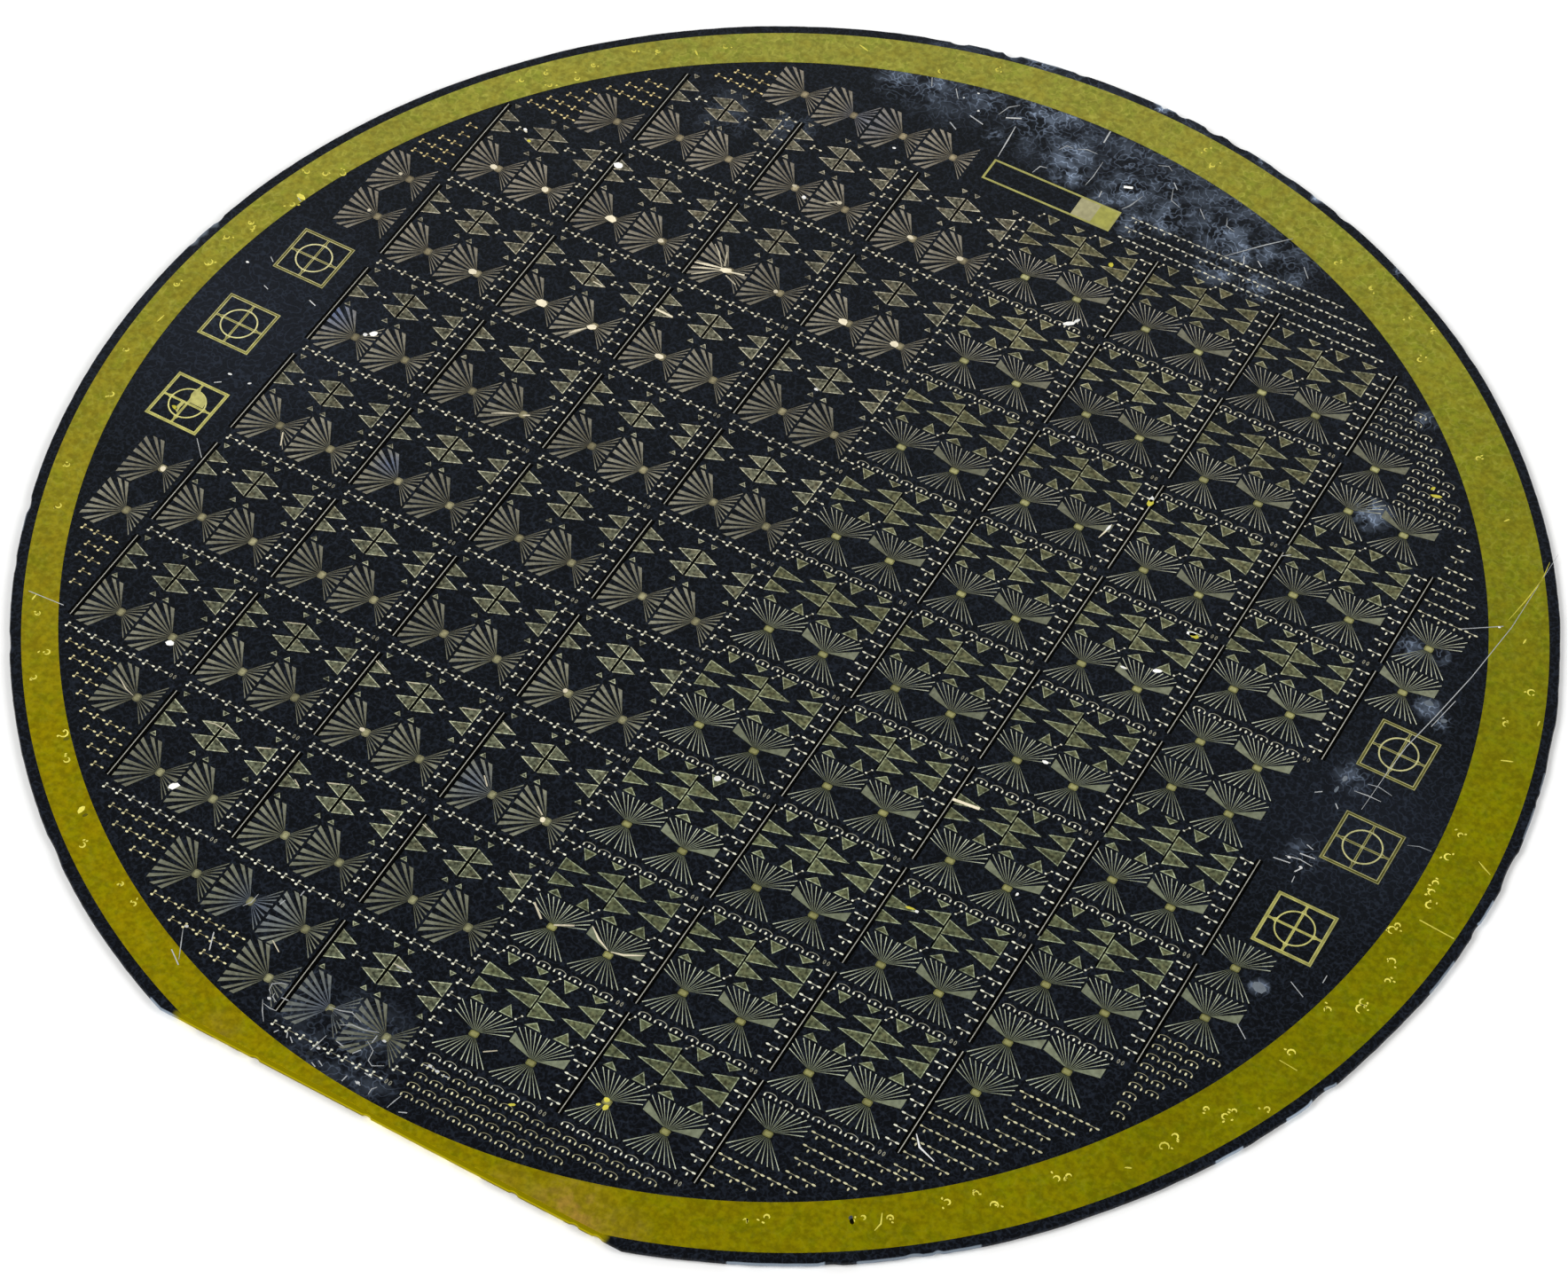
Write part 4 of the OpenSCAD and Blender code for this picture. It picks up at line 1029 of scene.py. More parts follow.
half = layout["half"]
leftHubs = each(shifted(leftDies, *leftDie["hub"]), 2, (half, 0))
rightHubs = each(shifted(rightDies, *rightDie["hub"]))
beamedHubs = each(shifted(rightDies, rightDie["hub"][0] + half, rightDie["hub"][1]))
edgeLeftHubs = [((x, y), count, (half, 0)) for x, y, count in leftLoneFans]
edgeRightHubs, edgeBeamedHubs = [], []
for x, y, count, firstBeamed in rightLoneFans:
    for k in range(count):
        hubs = edgeBeamedHubs if k or firstBeamed else edgeRightHubs
        hubs.append(((x + half * k, y), 1, (0, 0)))
leftFan = fanUnit(fan["left"], "leftRays")
rightFan, beamedFan = (fanUnit(fan[kind] + fan["below"], "rightRays") for kind in ("right", "beamed"))
leftHub, rightHub = hubUnit(*fan["leftPad"]), hubUnit(*fan["rightPad"])
for name, unit, rows, finish, seed, node in (
        ("left_fan_rays", leftFan, leftHubs, "leftRays", 1, "left_die_film"),
        ("left_fan_pads", leftHub, leftHubs, "leftPads", 2, "left_die_film"),
        ("right_fan_rays", rightFan, rightHubs, "rightRays", 3, "right_die_film"),
        ("right_beamed_fan_rays", beamedFan, beamedHubs, "rightRays", 4, "right_die_film"),
        ("right_fan_pads", rightHub, rightHubs + beamedHubs, "rightPads", 5, "right_die_film"),
        ("edge_left_fan_rays", leftFan, edgeLeftHubs, "leftRays", 6, "edge_die_film"),
        ("edge_right_fan_rays", rightFan, edgeRightHubs, "rightRays", 7, "edge_die_film"),
        ("edge_beamed_fan_rays", beamedFan, edgeBeamedHubs, "rightRays", 8, "edge_die_film"),
        ("edge_left_fan_pads", leftHub, edgeLeftHubs, "leftPads", 9, "edge_die_film"),
        ("edge_right_fan_pads", rightHub, edgeRightHubs + edgeBeamedHubs, "rightPads", 10, "edge_die_film")):
    addRepeated(name, unit, rows, finish, seed, node)
print("fans made")


# spikes

# each kind: width of its bright line, shine of the line, height share of the fill, shine of the fill
spike = {"large": (0.055, 1.0, 0.8, 0.0), "small": (0.05, 0.7, 0.6, -0.25),
         "leftShadowStrip": (3.83, 4.02, 4.86, 7.03), "rightShadowStrip": (3.88, 3.99, 4.6, 7.2),
         "leftRows": (5.345, 6.545), "leftHalf": 0.565, "leftEnds": ((0, 1.37), (3.85, 2.49)),
         "smallCentres": (0.45, 3.45), "smallHalf": 0.24, "smallHanging": (7.84, 7.48),
         "smallStanding": (4.09, 4.43), "rightHangsFrom": 7.84, "rightStandsOn": 3.993,
         "rightSideways": [(0.002, 5.745, 6.695, 1.99, 6.32), (0.002, 4.525, 5.5, 1.606, 5.1),
                           (3.993, 5.743, 6.893, 5.993, 6.327), (3.993, 4.527, 5.693, 5.61, 5.103),
                           (3.875, 6.32, 7.32, 2.222, 6.725), (3.875, 5.13, 6.13, 1.85, 5.533),
                           (7.86, 6.16, 7.293, 6.26, 6.71), (7.86, 4.927, 6.06, 5.86, 5.493)],
         "rightHanging": [(0.587, 1.51, 1.137, 7.052), (2.568, 3.49, 3.125, 7.387),
                          (4.577, 5.677, 5.143, 7.01), (6.577, 7.693, 7.11, 7.35)],
         "rightStanding": [(0.377, 1.327, 0.76, 4.46), (2.377, 3.31, 2.743, 4.793),
                           (4.177, 5.31, 4.777, 4.477), (6.177, 7.293, 6.76, 4.793)]}


def addTriangle(shape, outline, kind="large"):
    line, lineShine, fillHeight, fillShine = spike[kind]
    inner = insetOutline(outline, line)
    addFrame(shape, outline, inner, 0, thick, lineShine)
    addPrism(shape, inner, 0, thick * fillHeight, fillShine)


def addSpike(shape, baseX, low, high, tipX, tipY):      # a large triangle that points sideways
    base = [(baseX, high), (baseX, low)] if tipX > baseX else [(baseX, low), (baseX, high)]
    addTriangle(shape, base + [(tipX, tipY)])


def leftSpikeUnit():
    shape = newShape()
    up, aside = spike["leftHalf"], spike["smallHalf"]
    for x in (0, half):
        for y in spike["leftRows"]:
            for base, tip in spike["leftEnds"]:
                addSpike(shape, x + base, y - up, y + up, x + tip, y)
        for centre in spike["smallCentres"]:
            left, middle, right = x + centre - aside, x + centre, x + centre + aside
            base, tip = spike["smallHanging"]
            addTriangle(shape, [(left, base), (middle, tip), (right, base)], "small")
            base, tip = spike["smallStanding"]
            addTriangle(shape, [(left, base), (right, base), (middle, tip)], "small")
    # the dark strip between the halves is a painted shadow
    addPrism(shape, box(*spike["leftShadowStrip"]), 0, shadowStripHeight, -1)       # the cut between the halves
    return shapeMesh("leftSpikes", shape)


def rightSpikeUnit():
    shape = newShape()
    for ends in spike["rightSideways"]:
        addSpike(shape, *ends)
    base = spike["rightHangsFrom"]
    for left, right, tipX, tipY in spike["rightHanging"]:
        addTriangle(shape, [(left, base), (tipX, tipY), (right, base)])
    base = spike["rightStandsOn"]
    for left, right, tipX, tipY in spike["rightStanding"]:
        addTriangle(shape, [(left, base), (right, base), (tipX, tipY)])
    # the dark strip between the halves is a painted shadow
    addPrism(shape, box(*spike["rightShadowStrip"]), 0, shadowStripHeight, -1)
    return shapeMesh("rightSpikes", shape)


addRepeated("left_spikes", leftSpikeUnit(), each(leftDies), "leftSpikes", 11, "left_die_film")
addRepeated("right_spikes", rightSpikeUnit(), each(rightDies), "rightSpikes", 12, "right_die_film")
print("spikes made")


# small devices

# contacts: centre, width, height, low and high as shares of the film, shine
# leads: left, right, bottom, top, high share, shine
device = {"dots": ([((-0.03, -0.15), 0.2, 0.15, 0, 1, 1), ((0.04, 0.16), 0.18, 0.13, 0, 1, 0.8),
                    ((0.63, 0), 0.24, 0.13, 0, 1, 1)],
                   [(-0.02, 0.04, -0.09, 0.1, 0.8, 0.5), (0.04, 0.52, -0.02, 0.02, 0.7, 0.1)]),
          "tees": ([((-0.33, 0.01), 0.3, 0.135, 0, 1, 0.92), ((0.33, -0.01), 0.3, 0.135, 0, 1, 0.88),
                    ((0.01, -0.25), 0.12, 0.24, 0, 1, 0.88)], [(-0.2, 0.2, -0.02, 0.02, 0.8, 0.35)]),
          "arches": ([((-0.38, -0.02), 0.11, 0.22, 0, 1, 0.9), ((0, -0.02), 0.14, 0.22, 0, 1, 1),
                      ((0.38, -0.02), 0.11, 0.22, 0, 1, 0.9)], []),
          "rowEnds": ([((-0.14, 0), 0.17, 0.34, 0, 0.8, 0.25), ((-0.14, 0), 0.07, 0.2, 0.7, 0.9, -1),
                       ((0.14, 0), 0.17, 0.34, 0, 0.8, 0.25), ((0.14, 0), 0.07, 0.2, 0.7, 0.9, -1)], []),
          "archCentre": (0, 0.04), "archSizes": ((0.86, 0.44), (0.78, 0.37)), "archLook": (0.8, 0.35),
          "hookFirst": (0.16, 0.13), "hookSecond": (0.16, 0.11), "hookShines": (1, 0.8),
          "hookLead": (0.04, 0.8, 0.1)}


def deviceUnit(kind):
    shape = newShape()
    contacts, leads = device[kind]
    for centre, width, height, low, high, shine in contacts:
        addPrism(shape, oval(centre, width, height), thick * low, thick * high, shine)
    for left, right, bottom, top, share, shine in leads:
        addPrism(shape, box(left, right, bottom, top), 0, thick * share, shine)
    if kind == "arches":
        outer, inner = ([onEllipse(device["archCentre"], *size, math.pi * i / 8) for i in range(9)]
                        for size in device["archSizes"])
        share, shine = device["archLook"]
        addPrism(shape, outer + inner[::-1], 0, thick * share, shine)
    return shapeMesh(kind, shape)


def hookUnit(ends):                         # pairs of small contacts joined by a thin lead
    shape = newShape()
    firstShine, secondShine = device["hookShines"]
    width, share, shine = device["hookLead"]
    for first, second in ends:
        addPrism(shape, oval(first, *device["hookFirst"]), 0, thick, firstShine)
        addPrism(shape, oval(second, *device["hookSecond"]), 0, thick, secondShine)
        addStroke(shape, [first, second], width, 0, thick * share, shine)
    return shapeMesh("hooks", shape)


def columnRows(die, dies):                  # the column of devices beside each die
    return each(shifted(dies, die["columnX"], die["columnTop"]), die["columnCount"], (0, -1.0))


def edgeRows(kind):                         # as many devices as fit between the inner end and the ring
    rows = []
    for endX, firstY, count in kind["pockets"]:
        side = math.copysign(1, endX)
        for k in range(count):
            y = firstY - k * kind["rowPitch"]
            room = layout["windowRadius"] ** 2 - (abs(y) + kind["room"]) ** 2
            reach = math.sqrt(max(0.0, room)) - abs(endX) - kind["reach"] / 2
            devices = math.floor(reach / kind["pitch"] + 1 - kind["free"])
            if devices > 0:
                rows.append(((endX + side * kind["inset"], y), devices, (side * kind["pitch"], 0)))
    return rows


chainStarts = shifted(leftDies, leftDie["chainX"], -leftDie["chainDrop"])
dotsAtDies = (columnRows(leftDie, leftDies) + each(chainStarts, leftDie["chainCount"], (1.0, 0))
              + each(shifted(leftDies, *leftDie["tipPair"]), 2, (half, 0)))
archesAtDies = [((x + rightDie["chainX"][1 if y > level else 0], y - rightDie["chainDrop"]),
                 rightDie["chainCount"], (rightDie["chainStep"], 0))
                for lane, level in zip(rightLanes, rightDie["chainMovesAt"]) for x, y in lane]
dots, tees, arches, rowEnds = (deviceUnit(kind) for kind in ("dots", "tees", "arches", "rowEnds"))
for name, unit, rows, finish, seed, node in (
        ("left_die_devices", dots, dotsAtDies, "contacts", 13, "left_die_film"),
        ("right_die_tees", tees, columnRows(rightDie, rightDies), "contacts", 14, "right_die_film"),
        ("right_die_arches", arches, archesAtDies, "contacts", 15, "right_die_film"),
        ("left_row_ends", rowEnds, each(shifted(leftDies, *leftDie["rowEnd"])), "contacts", 23,
         "left_die_film"),
        ("right_row_ends", rowEnds, each(shifted(rightDies, *rightDie["rowEnd"])), "contacts", 24,
         "right_die_film"),
        ("right_die_hooks", hookUnit(rightDie["hooks"]), each(rightDies), "contacts", 25, "right_die_film"),
        ("edge_devices", dots, edgeRows(dotRows), "edgeContacts", 16, "edge_die_film"),
        ("edge_tees", tees, edgeRows(teeRows), "paleContacts", 17, "edge_die_film"),
        ("edge_arches", arches, edgeRows(archRows), "paleContacts", 18, "edge_die_film")):
    addRepeated(name, unit, rows, finish, seed, node)
print("devices made")


# scribe lines, marks and label box

# where the near dark strip starts and the line lies; the die says how far the far dark strip reaches; both
# strips are painted shadow beside the line
scribe = {"nearShadowStrip": -0.16, "line": (0.035, 0.095), "nearHeight": 0.6}


# a bright line with a dark strip of painted shadow on both sides
def scribeUnit(low, high, far):             # a bright line with a dark cut on both sides
    shape = newShape()
    left, right = scribe["line"]
    addPrism(shape, box(left, right, low, high), 0, thick, 1)
    addPrism(shape, box(scribe["nearShadowStrip"], left, low, high), 0, thick * scribe["nearHeight"], -1)
    addPrism(shape, box(right, far, low, high), 0, shadowStripHeight, -1)
    return shapeMesh("scribe", shape)


def markUnit():
    shape = newShape()
    outer, edge = marks["side"] / 2, marks["lineEdge"]
    sizes = [outer, outer - edge, outer - marks["line"] + edge, outer - marks["line"]]
    for size, smaller, (high, shine) in zip(sizes, sizes[1:], marks["lineLayers"]):
        addFrame(shape, box(-size, size, -size, size), box(-smaller, smaller, -smaller, smaller),
                 0, thick * high, shine)
    inner, arm, radius = sizes[-1], marks["cross"] / 2, marks["circle"] / 2
    above = [(0, arm)] + [(radius + x, y) for x, y in marks["armSwell"]] + [(inner, marks["armEnd"])]
    outline = [(x, -y) for x, y in above] + above[::-1]     # each arm widens where it crosses the circle
    for turn in range(4):
        for low, high, shine, squeeze in marks["armLayers"]:
            turned = [(x, y * squeeze) for x, y in outline]
            for quarter in range(turn):
                turned = [(-y, x) for x, y in turned]
            addPrism(shape, turned, thick * low, thick * high, shine)
    addPrism(shape, oval((0, 0), marks["hub"], marks["hub"]), 0, thick, marks["hubShine"])
    corners = marks["circleCorners"]
    circles = [[onEllipse((0, 0), width, width, 2 * math.pi * i / corners) for i in range(corners)]
               for width in (marks["circle"], marks["circle"] - 2 * marks["circleLine"])]
    addFrame(shape, *circles, 0, thick, 1)
    return shapeMesh("mark", shape)


def labelUnit():
    shape = newShape()
    right, high, line = label["width"] / 2, label["height"] / 2, label["line"]
    left = right - label["block"]
    middle = (left + right) / 2
    addFrame(shape, box(-right, right, -high, high),
             box(-right + line, right - line, -high + line, high - line), 0, thick, label["lineShine"])
    for start, end, (share, shine) in ((left, middle, label["blockLook"]),
                                       (middle, right - line, label["fieldLook"])):
        addPrism(shape, box(start, end, -high + line, high - line), 0, thick * share, shine)
    return shapeMesh("label", shape)


rightOfDie = layout["dieWidth"] + rightDie["scribeGap"]
for name, unit, places, finish, seed, node in (
        ("left_scribe_lines", scribeUnit(*leftDie["scribe"]), shifted(leftDies, -leftDie["scribeGap"], 0),
         "lines", 19, "scribe_lines"),
        ("right_scribe_lines", scribeUnit(*rightDie["scribe"]), shifted(rightDies, rightOfDie, 0),
         "lines", 20, "scribe_lines"),
        ("alignment_marks_fine", markUnit(), markCentres, "marks", 21, "alignment_marks"),
        ("label_box_fine", labelUnit(), [labelCentre], "label", 22, "label_box")):
    addRepeated(name, unit, each(places), finish, seed, node)
print("scribe lines, marks and label box made")


# marks of handling, and flashes of painted light on the rim film, in mm on the wafer

# crumbs of dust: place, size, turn, shine
crumbs = [
    ((-28.35, 25.3), (0.85, 0.7), 20, 1), ((-35.8, 24.9), (0.35, 0.28), 0, 0.9),
    ((-34.5, 3.65), (0.55, 0.6), 0, 1), ((-34.95, 3.3), (0.4, 0.3), 30, 0.7),
    ((-24.7, -33.6), (0.75, 0.5), 35, 1), ((-31.3, -24.65), (0.6, 0.45), 0, 1),
    ((5.6, 28.4), (1.0, 0.42), 38, 0.85), ((6.0, 28.9), (0.5, 0.25), 60, 0.7),
    ((24.1, 5.3), (0.75, 0.3), 25, 1), ((16.1, 14.05), (0.2, 0.7), -8, 0.85),
    ((24.7, 9.05), (0.75, 0.4), 10, 0.85), ((-45.5, 4.7), (0.25, 0.2), 0, 0.9),
    ((-40.8, -4.2), (0.35, 0.2), 0, 0.7), ((-39.2, -4.2), (0.3, 0.16), 40, 0.6),
    ((-12.6, 36.6), (0.3, 0.2), 0, 0.8), ((17.45, 17.6), (0.4, 0.6), 10, 0.7),
    ((4.15, -16.05), (0.5, 0.5), 45, 0.75), ((-16.97, 8.42), (0.12, 0.12), 0, 0.8),
    ((21.3, -4.6), (0.5, 0.25), 0, 0.85), ((22.1, 4.45), (0.5, 0.2), 0, 0.8),
    ((-10.0, 44.3), (0.2, 0.15), 0, 0.7), ((-10.7, 43.4), (0.15, 0.15), 0, 0.6),
    ((-9.2, 42.8), (0.2, 0.2), 0, 0.6), ((40.2, -12.7), (1.0, 0.85), 0, 0.02),
    ((38.1, 3.8), (0.35, 0.65), 0, 0.04), ((38, 2.8), (0.25, 0.6), 0, 0.0),
    ((37.65, -3.3), (0.25, 0.2), 0, 0.6), ((38.6, -3.6), (0.25, 0.2), 0, 0.5),
    ((41.6, 11), (0.5, 0.4), 30, -0.1), ((40.2, 11.8), (0.7, 0.5), 0, -0.1),
    ((41.6, 19.6), (0.2, 0.15), 0, 0.8), ((10.5, 19.7), (0.4, 0.2), 20, 0.7),
    ((19.7, -18.4), (0.3, 0.2), 0, 0.7), ((24.4, -14.2), (0.2, 0.3), 0, 0.8),
    ((-15.7, 29.3), (0.4, 0.3), -40, 0.8), ((-6.3, 14.6), (0.35, 0.22), 0, 0.7),
    ((26.6, -38.8), (0.25, 0.3), 0, -0.6)]
# hubs worn bright, or with cream residue on them: place, size, turn, shine
wornHubs = [
    ((-26.2, 11.75), (0.85, 0.66), 10, 0.92), ((-22.15, 11.65), (0.8, 0.58), 35, 0.92),
    ((-16.9, 11.75), (0.75, 0.48), 0, 0.85), ((-31.8, 11.75), (0.66, 0.56), 0, 0.85),
    ((-35.8, 20.75), (0.62, 0.5), 0, 0.8), ((-31.6, 20.75), (0.6, 0.52), 0, 0.85),
    ((-26.2, 20.75), (0.88, 0.66), 0, 0.95), ((-22.2, 20.75), (0.5, 0.46), 0, 0.65),
    ((-7.7, 20.75), (0.8, 0.66), 10, 0.92), ((-3.7, 20.75), (0.66, 0.54), 0, 0.85),
    ((-16.9, 20.7), (1.0, 0.5), 15, 0.95), ((-13.0, 20.75), (0.4, 0.36), 0, 0.55),
    ((-13.3, 30.1), (0.4, 0.34), 0, 0.55), ((-16.8, 29.9), (0.34, 0.3), 0, 0.5),
    ((-7.5, 29.8), (0.5, 0.42), 0, 0.7), ((-3.6, 29.8), (0.52, 0.42), 0, 0.65),
    ((-39.95, -13.15), (0.46, 0.5), 0, 0.85), ((-7.6, -15.1), (0.38, 0.34), 0, 0.65),
    ((-3.6, -24.2), (0.42, 0.44), 0, 0.85), ((-17, -24.1), (0.38, 0.34), 0, 0.65),
    ((-41, 16.9), (0.3, 0.3), 0, 0.55), ((-41, 12.9), (0.3, 0.3), 0, 0.6)]
# smears of the film's own colour: place, size, turn, shine
filmSmears = [
    ((10.3, -39.2), (0.45, 0.4), 0, 0.6), ((10.5, -39.7), (0.35, 0.5), 0, 0.5),
    ((10.0, -39.7), (0.3, 0.2), 40, 0.7), ((33.6, 27.4), (0.9, 0.35), 20, 0.3),
    ((33.1, 27.9), (0.5, 0.25), 60, 0.25), ((17.5, 17.3), (0.45, 0.7), 10, 0.4),
    ((24.9, 9.0), (0.8, 0.45), 0, 0.25), ((19.2, -18.4), (0.8, 0.2), 10, 0.3),
    ((5.6, -42.3), (0.6, 0.2), 30, 0.4), ((-35, 24.1), (0.3, 0.25), 0, 0.5),
    ((-42.3, -8.45), (0.55, 0.28), -20, 0.2), ((5.6, 34.6), (0.4, 0.5), 20, 0.3)]
# residue that fills part of a mark, as outlines
markFills = [
    [(-41.85, -7.6), (-40.66, -7.6), (-40.72, -7.2), (-40.95, -6.85), (-41.3, -6.55), (-41.75, -6.42),
     (-42.0, -6.6), (-42.02, -6.95), (-41.9, -7.25)],
    [(-42.2, -7.75), (-41.95, -7.75), (-42.0, -8.3), (-41.9, -8.75), (-42.15, -8.6), (-42.25, -8.2)]]
# scratches and hairs: line, width, shine
scratches = [
    ([(42.5, 27), (42.3, 20), (41.7, 15), (41, 11), (40.4, 8), (40.2, 5.6), (40, 2.2)], 0.06, 0.3),
    ([(41.6, 12.8), (41.1, 10.2)], 0.05, 0.3), ([(15.4, 43.2), (14, 41.7), (12, 39.3)], 0.08, 0.3),
    ([(-7.8, 43.2), (-7.5, 44.2), (-6.9, 44.8)], 0.07, 0.3), ([(-7.2, 43.2), (-6.2, 43.7)], 0.1, 0.5),
    ([(-6.2, 42.8), (-6.05, 41.3), (-5.9, 39.6)], 0.1, 0.4), ([(-9.5, 42.1), (-8.3, 41.8)], 0.08, 0.35),
    ([(-10.4, 40.8), (-9.7, 40.4)], 0.08, 0.3), ([(-0.2, 45.8), (-0.1, 44.6)], 0.1, 0.35),
    ([(13.2, 40), (13.5, 39.3)], 0.07, 0.4), ([(14.2, 40.1), (14.7, 39.7)], 0.07, 0.4),
    ([(3.05, 41.55), (3.65, 41.78)], 0.2, 1), ([(4.6, 41.4), (4.25, 40.2), (3.9, 39.6)], 0.1, 0.2),
    ([(5.9, 43.7), (6.4, 43.2)], 0.07, 0.3), ([(0.7, 42.9), (0.75, 41.3), (0.65, 40.3)], 0.06, 0.3),
    ([(-1.4, 43.1), (-0.8, 43.4), (0, 43.4)], 0.06, 0.3),
    ([(-2.5, 42.4), (-2.2, 43), (-1.7, 43)], 0.06, 0.3),
    ([(-3.1, 39.5), (-2.9, 40.3), (-2.4, 40.4)], 0.08, 0.35), ([(1.9, 40.4), (2, 39.8)], 0.07, 0.3),
    ([(6.1, 43.2), (6.5, 42.1), (7.3, 41.8)], 0.07, 0.25),
    ([(4.2, 44.6), (4.9, 44.9), (5.3, 44.6)], 0.06, 0.25), ([(8.6, 42.4), (9.3, 41.7)], 0.06, 0.25),
    ([(10.6, 42.6), (10.9, 41.9), (11.6, 41.7)], 0.06, 0.25), ([(17.2, 41.2), (17.9, 40.4)], 0.06, 0.25),
    ([(-11.6, 43.9), (-11, 43.1)], 0.06, 0.3), ([(-13.6, 44), (-13.2, 43.2)], 0.06, 0.25),
    ([(-39.9, 3.95), (-39.3, 3.75)], 0.07, 0.55), ([(-43.3, 3.5), (-42.9, 3.35)], 0.06, 0.45),
    ([(-41.3, -5.35), (-40.9, -5.05)], 0.06, 0.45), ([(-39.5, -9.9), (-38.3, -11.1)], 0.05, 0.3),
    ([(-44.4, 5.9), (-44, 5.6)], 0.06, 0.3), ([(-45.9, 11.4), (-45.5, 11.2)], 0.06, 0.3),
    ([(43.6, 1.2), (44.3, 1.5), (45.1, 1.55)], 0.05, 0.15), ([(43.4, -10.5), (43.4, -9.9)], 0.05, 0.3),
    ([(41.7, -11.4), (42.8, -12)], 0.05, 0.25), ([(40.2, -15.7), (41.1, -16.4)], 0.05, 0.3),
    ([(39.5, 18.2), (41.8, 19.8)], 0.05, 0.25), ([(-41.5, -25.8), (-38.9, -25.6)], 0.05, 0.35),
    ([(27.2, -32), (27.8, -32.7), (29, -33.1)], 0.13, 0.7),
    ([(39, 3.25), (39.9, 3.35), (40.8, 3.35)], 0.06, 0.35),
    ([(39.5, 4.15), (40.2, 4.3), (41.2, 4.1)], 0.05, 0.25), ([(36.9, 1.9), (37.3, 2.2)], 0.06, 0.3),
    ([(38.4, 1.8), (38.7, 1.5)], 0.07, 0.3), ([(38.2, -1.9), (38.7, -2.05)], 0.06, 0.3),
    ([(38.1, -2.7), (39.1, -2.6)], 0.07, 0.4), ([(37.4, -3.3), (38.3, -3.1), (39.2, -3.2)], 0.06, 0.4),
    ([(36.8, -3.8), (37.9, -3.65)], 0.06, 0.4), ([(38.4, -4.1), (38.7, -3.6)], 0.08, 0.45),
    ([(38.55, -4.4), (38.6, -4.9)], 0.05, 0.3), ([(27.4, 18.1), (26.9, 17.7)], 0.05, 0.35),
    ([(-16.4, -41.2), (-15.9, -42.4)], 0.07, 0.4), ([(-17.9, -43.5), (-16.9, -44.2)], 0.07, 0.35)]
# where the film by the flat has been scraped, as lines alone, and the crumbs that came off
scrapes = [
    [(-10.93, -43.1), (-11.2, -42.9), (-11.28, -42.48), (-10.84, -42.14), (-10.4, -42.03)],
    [(-10.34, -43.4), (-10.75, -43.21), (-10.78, -42.94)], [(-10.26, -43), (-9.77, -42.96)],
    [(-11.15, -43.66), (-10.71, -44.34), (-10.23, -44.92)],
    [(-10.94, -43.87), (-10.43, -43.96), (-9.99, -43.92)],
    [(-7.42, -42.1), (-6.73, -41.99), (-6.01, -41.74), (-5.17, -42.04)],
    [(-6.17, -42.83), (-5.53, -42.46), (-4.7, -42.38), (-3.87, -42.1)],
    [(-6.45, -43.83), (-6.57, -44.49), (-6.71, -45.14)], [(-8.27, -44.99), (-7.92, -45.28)],
    [(-8.58, -44.81), (-8.4, -45.16)], [(-3.93, -45.99), (-3.86, -45.53)],
    [(-4.14, -42.93), (-3.47, -43.32), (-3.35, -44.03), (-2.97, -44.23), (-2.33, -43.86)],
    [(-3.84, -42.9), (-3.84, -42.33)], [(-0.63, -46.16), (-0.5, -45.6), (-0.34, -45.08)],
    [(-2.08, -45.96), (-2.1, -45.55), (-1.89, -45.29)], [(-6.18, -45.82), (-5.83, -45.97)],
    [(-5.89, -45.51), (-5.5, -45.71)], [(-9.28, -45.22), (-9.12, -44.95)],
    [(-3.25, -45.59), (-2.82, -45.69)], [(-3.06, -44.85), (-2.53, -44.89)], [(0.12, -46.07), (0.6, -45.86)],
    [(-5.73, -43.86), (-5.16, -43.96)], [(-4.44, -44.1), (-4.12, -43.63)],
    [(-0.45, -42.62), (0.31, -42.54), (0.74, -42.63)], [(0.9, -42.68), (1.49, -42.62)],
    [(-18.14, -41.95), (-17.62, -42.91), (-17.1, -43.87)],
    [(-15.97, -38.76), (-15.66, -38.28), (-15.63, -37.57)], [(-14.08, -37.53), (-13.98, -37.13)],
    [(-13.36, -36.38), (-13.34, -35.98)], [(-5.51, -37.69), (-4.53, -37.63)]]
darkCrumbs = [(-7.2, -42.43), (-6.6, -42.55), (-3.28, -43.1), (-4.3, -43.2), (-3.2, -43.7), (-6.62, -45.37)]
paleCrumbs = [(-3.05, -45.62), (0.6, -42.6), (0.03, -42.49), (-3.28, -42.43), (-10.85, -43.41),
              (-6.37, -44.8), (-18.06, -41.69)]
scratches += [(line, 0.065, 0.26) for line in scrapes]
crumbs += [(place, (0.5, 0.4), 30, -0.85) for place in darkCrumbs]
crumbs += [(place, (0.3, 0.2), 10, 0.45) for place in paleCrumbs]
